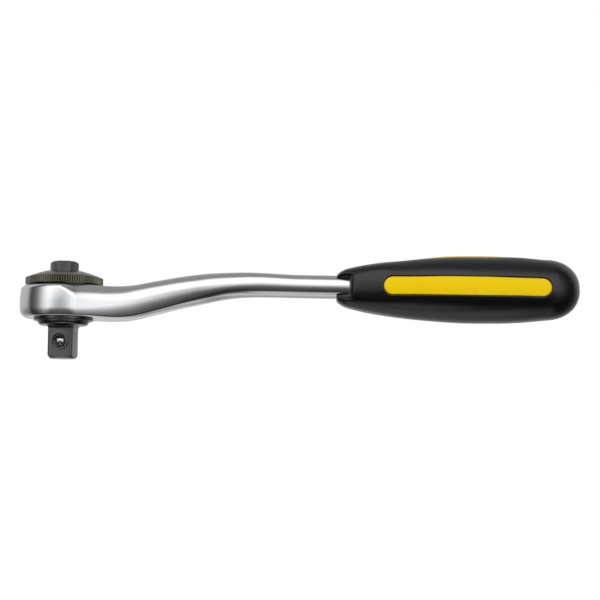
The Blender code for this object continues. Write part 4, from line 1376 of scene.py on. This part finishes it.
def studio_floor():
    """A pale floor that a camera below it looks through."""
    bm = bmesh.new()
    bmesh.ops.create_grid(bm, x_segments=1, y_segments=1, size=FLOOR_HALF)
    floor = piece("studio_floor", bm)
    made, tree, shader, _ = start_finish("studio floor", Roughness=0.9)
    shader.inputs["Base Color"].default_value = linear(FLOOR_TONE)
    back = add_node(tree, "ShaderNodeNewGeometry").outputs["Backfacing"]
    clear = add_node(tree, "ShaderNodeBsdfTransparent")
    blend = add_node(tree, "ShaderNodeMixShader", {0: back, 1: shader.outputs[0], 2: clear.outputs[0]})
    tree.links.new(blend.outputs[0], tree.nodes["Material Output"].inputs["Surface"])
    floor.data.materials.append(made)
    floor.visible_glossy = False
    return floor


def paper_finish():
    """Self-lit paper whose brightness is painted on its points."""
    made, tree, _, _ = start_finish("studio paper")
    shade = add_node(tree, "ShaderNodeAttribute", attribute_name="shade").outputs["Fac"]
    glow = add_node(tree, "ShaderNodeEmission", {"Strength": shade})
    tree.links.new(glow.outputs[0], tree.nodes["Material Output"].inputs["Surface"])
    return made


# The surround's radius, and how many rings and uprights of points it has
SURROUND_REACH = 1.3
SURROUND_RINGS = 91
SURROUND_UPRIGHTS = 145
# What the chrome shows round the head, as (angle over the horizon, brightness): to the front the dark
# table edge, the bright paper and the grey ceiling, and to the back the lit paper sweep
FRONT = [
    (-90, 0.72), (-73, 0.75), (-68, 0.7), (-60, 0.38), (-55, 0.12), (-46, 0.07), (-40, 0.08), (-33, 0.22),
    (-26, 0.32), (-14, 0.5), (-8, 0.66), (-2, 0.92), (5, 1.3), (24, 1.5), (64, 1.5), (72, 0.9), (80, 0.48),
    (90, 0.34),
]
BACK = [(-90, 0.72), (-43, 0.6), (0, 0.9), (44, 0.63), (64, 0.42), (80, 0.3), (90, 0.34)]
# Between which turns from the front the one goes over into the other
BACK_TURN = (110, 165)
# How much lower the ceiling begins to both sides, and between which turns and heights it comes down
CEILING_DIP = 16
CEILING_TURN = (14, 34)
CEILING_HEIGHT = (30, 45)
# How much of that the black flags at both sides leave, as (turn from the front, share)
FLAGS = [
    (0, 1), (38, 1), (44, 0.9), (52, 0.68), (60, 0.4), (69, 0.17), (78, 0.1), (86, 0.06), (91, 0.06),
    (96, 0.13), (101, 0.29), (107, 0.4), (139, 0.55), (160, 0.68), (180, 0.75),
]
# Between which heights, up and down, the flags end
FLAGS_FADE = (52, 76)
# The dark camera stand: the turn and height of its top, and how far that falls at a width to either side
STAND_TURN = -5
STAND_TOP = 7
STAND_WIDTH = 27
STAND_FALL = 17
# How much of the light the stand leaves, as (degrees below its top, share)
STAND = [(-20, 1), (-10, 0.75), (0, 0.45), (10, 0.3), (20, 0.25), (40, 0.4), (60, 1)]


def along(points, at):
    """Straight-line value at a place between points."""
    for before, after in zip(points, points[1:]):
        if at <= after[0]:
            return before[1] + slope(before, after) * (at - before[0])
    return points[-1][1]


def surround_shade(turn, height):
    """Brightness of the surround at a turn from the front and a height over the horizon, in degrees."""
    dip = CEILING_DIP * ease(abs(turn), *CEILING_TURN) * ease(height, *CEILING_HEIGHT)
    shade = mix(along(FRONT, height + dip), along(BACK, height), ease(abs(turn), *BACK_TURN))
    stand_top = STAND_TOP - STAND_FALL * ((turn - STAND_TURN) / STAND_WIDTH) ** 2
    shade *= along(STAND, max(stand_top - height, STAND[0][0]))
    return shade * mix(along(FLAGS, abs(turn)), 1, ease(abs(height), *FLAGS_FADE))


def surround(reach):
    """Papers, flags and ceiling all round the head, as one dome that only reflections show."""
    bm = bmesh.new()
    layer = bm.verts.layers.float.new("shade")
    heights = spread(-90, 90, SURROUND_RINGS)
    turns = spread(-180, 180, SURROUND_UPRIGHTS)[:-1]
    rows = []
    for height in heights:
        up = math.radians(height)
        out, z = reach * math.cos(up), reach * math.sin(up)
        rows.append([Vector((out * math.sin(t), -out * math.cos(t), z)) for t in map(math.radians, turns)])
    for verts, height in zip(weave(bm, rows, round_rows=False), heights):
        for vert, turn in zip(verts, turns):
            vert[layer] = surround_shade(turn, height)
    made = piece("surround", bm)
    made.data.materials.append(paper_finish())
    for ray in ("camera", "diffuse", "transmission", "shadow"):
        setattr(made, f"visible_{ray}", False)
    return made


def studio_world(settings):
    """White to the camera and in reflections, and softer as light."""
    world = bpy.data.worlds.new("studio")
    bpy.context.scene.world = world
    world.use_nodes = True
    tree = world.node_tree
    rays = add_node(tree, "ShaderNodeLightPath").outputs
    seen = rays["Is Camera Ray"]
    for kind in ("Is Glossy Ray", "Is Transmission Ray"):
        seen = add_node(tree, "ShaderNodeMath", {0: seen, 1: rays[kind]}, operation="MAXIMUM").outputs[0]
    strength = add_node(
        tree, "ShaderNodeMapRange", {"Value": seen, "To Min": settings.ambient, "To Max": 1.0}
    )
    back = tree.nodes["Background"]
    back.inputs["Color"].default_value = (1, 1, 1, 1)
    tree.links.new(strength.outputs["Result"], back.inputs["Strength"])


def key_light(settings):
    """A large soft light that looks at the object and isn't seen itself."""
    lamp = bpy.data.lights.new("key_light", "AREA")
    lamp.shape = "RECTANGLE"
    lamp.size, lamp.size_y = KEY_SIZE
    lamp.energy = settings.key_power
    made = bpy.data.objects.new("key_light", lamp)
    made.location = Vector(settings.target) + KEY_PLACE
    made.rotation_mode = "QUATERNION"
    made.rotation_quaternion = (-KEY_PLACE).to_track_quat("-Z", "Y")
    made.visible_camera = False
    made.visible_glossy = False
    bpy.context.scene.collection.objects.link(made)


def studio_camera(settings):
    """The photograph's camera, which looks at the tool from a little below."""
    data = bpy.data.cameras.new("photo_camera")
    data.lens = settings.lens
    data.sensor_width = SENSOR_WIDTH
    camera = bpy.data.objects.new("photo_camera", data)
    back = Vector((0, -math.cos(settings.elevation), math.sin(settings.elevation)))
    camera.location = Vector(settings.target) + back * settings.distance
    camera.rotation_mode = "QUATERNION"
    camera.rotation_quaternion = (-back).to_track_quat("-Z", "Y") @ Quaternion((0, 0, 1), settings.roll)
    bpy.context.scene.collection.objects.link(camera)
    bpy.context.scene.camera = camera


class RATCHET_OT_studio(bpy.types.Operator):
    """Sets the floor, papers, light, world and camera."""

    bl_idname = "ratchet.studio"
    bl_label = "Studio"

    def execute(self, context):
        settings = context.scene.ratchet_studio
        studio_floor()
        surround(SURROUND_REACH)
        key_light(settings)
        studio_world(settings)
        studio_camera(settings)
        context.scene.view_settings.view_transform = "Standard"
        return {"FINISHED"}


class RATCHET_PT_panel(bpy.types.Panel):
    """Lists the pieces and their settings."""

    bl_idname = "RATCHET_PT_panel"
    bl_label = "Ratchet"
    bl_space_type = "VIEW_3D"
    bl_region_type = "UI"
    bl_category = "Ratchet"

    def draw(self, context):
        for kind in OPERATORS:
            self.layout.operator(kind.bl_idname)
        for setting, group in SETTINGS.items():
            box = self.layout.box()
            box.label(text=group.__doc__)
            for key in group.__annotations__:
                box.prop(getattr(context.scene, setting), key)


SETTINGS = {
    "ratchet_forging": ForgingSizes,
    "ratchet_drive": DriveSizes,
    "ratchet_selector": SelectorSizes,
    "ratchet_springs": SpringSizes,
    "ratchet_grip": GripSizes,
    "ratchet_finishes": Finishes,
    "ratchet_studio": StudioSettings,
}
OPERATORS = (
    RATCHET_OT_forging,
    RATCHET_OT_teeth,
    RATCHET_OT_retaining_ring,
    RATCHET_OT_drive,
    RATCHET_OT_ball,
    RATCHET_OT_springs,
    RATCHET_OT_disc,
    RATCHET_OT_hexagon,
    RATCHET_OT_grip,
    RATCHET_OT_works,
    RATCHET_OT_studio,
)
CLASSES = (*SETTINGS.values(), *OPERATORS, RATCHET_PT_panel)


def register():
    """Registers the classes and gives each scene their settings."""
    for kind in CLASSES:
        bpy.utils.register_class(kind)
    for setting, group in SETTINGS.items():
        setattr(bpy.types.Scene, setting, PointerProperty(type=group))


def unregister():
    """Takes the settings and classes away again."""
    for setting in SETTINGS:
        delattr(bpy.types.Scene, setting)
    for kind in reversed(CLASSES):
        bpy.utils.unregister_class(kind)


def main():
    """Makes every piece in order."""
    register()
    bpy.ops.ratchet.forging()
    bpy.ops.ratchet.teeth()
    bpy.ops.ratchet.retaining_ring()
    bpy.ops.ratchet.drive()
    bpy.ops.ratchet.ball()
    bpy.ops.ratchet.springs()
    bpy.ops.ratchet.disc()
    bpy.ops.ratchet.hexagon()
    bpy.ops.ratchet.grip()
    bpy.ops.ratchet.works()
    bpy.ops.ratchet.studio()


if __name__ == "__main__":
    main()
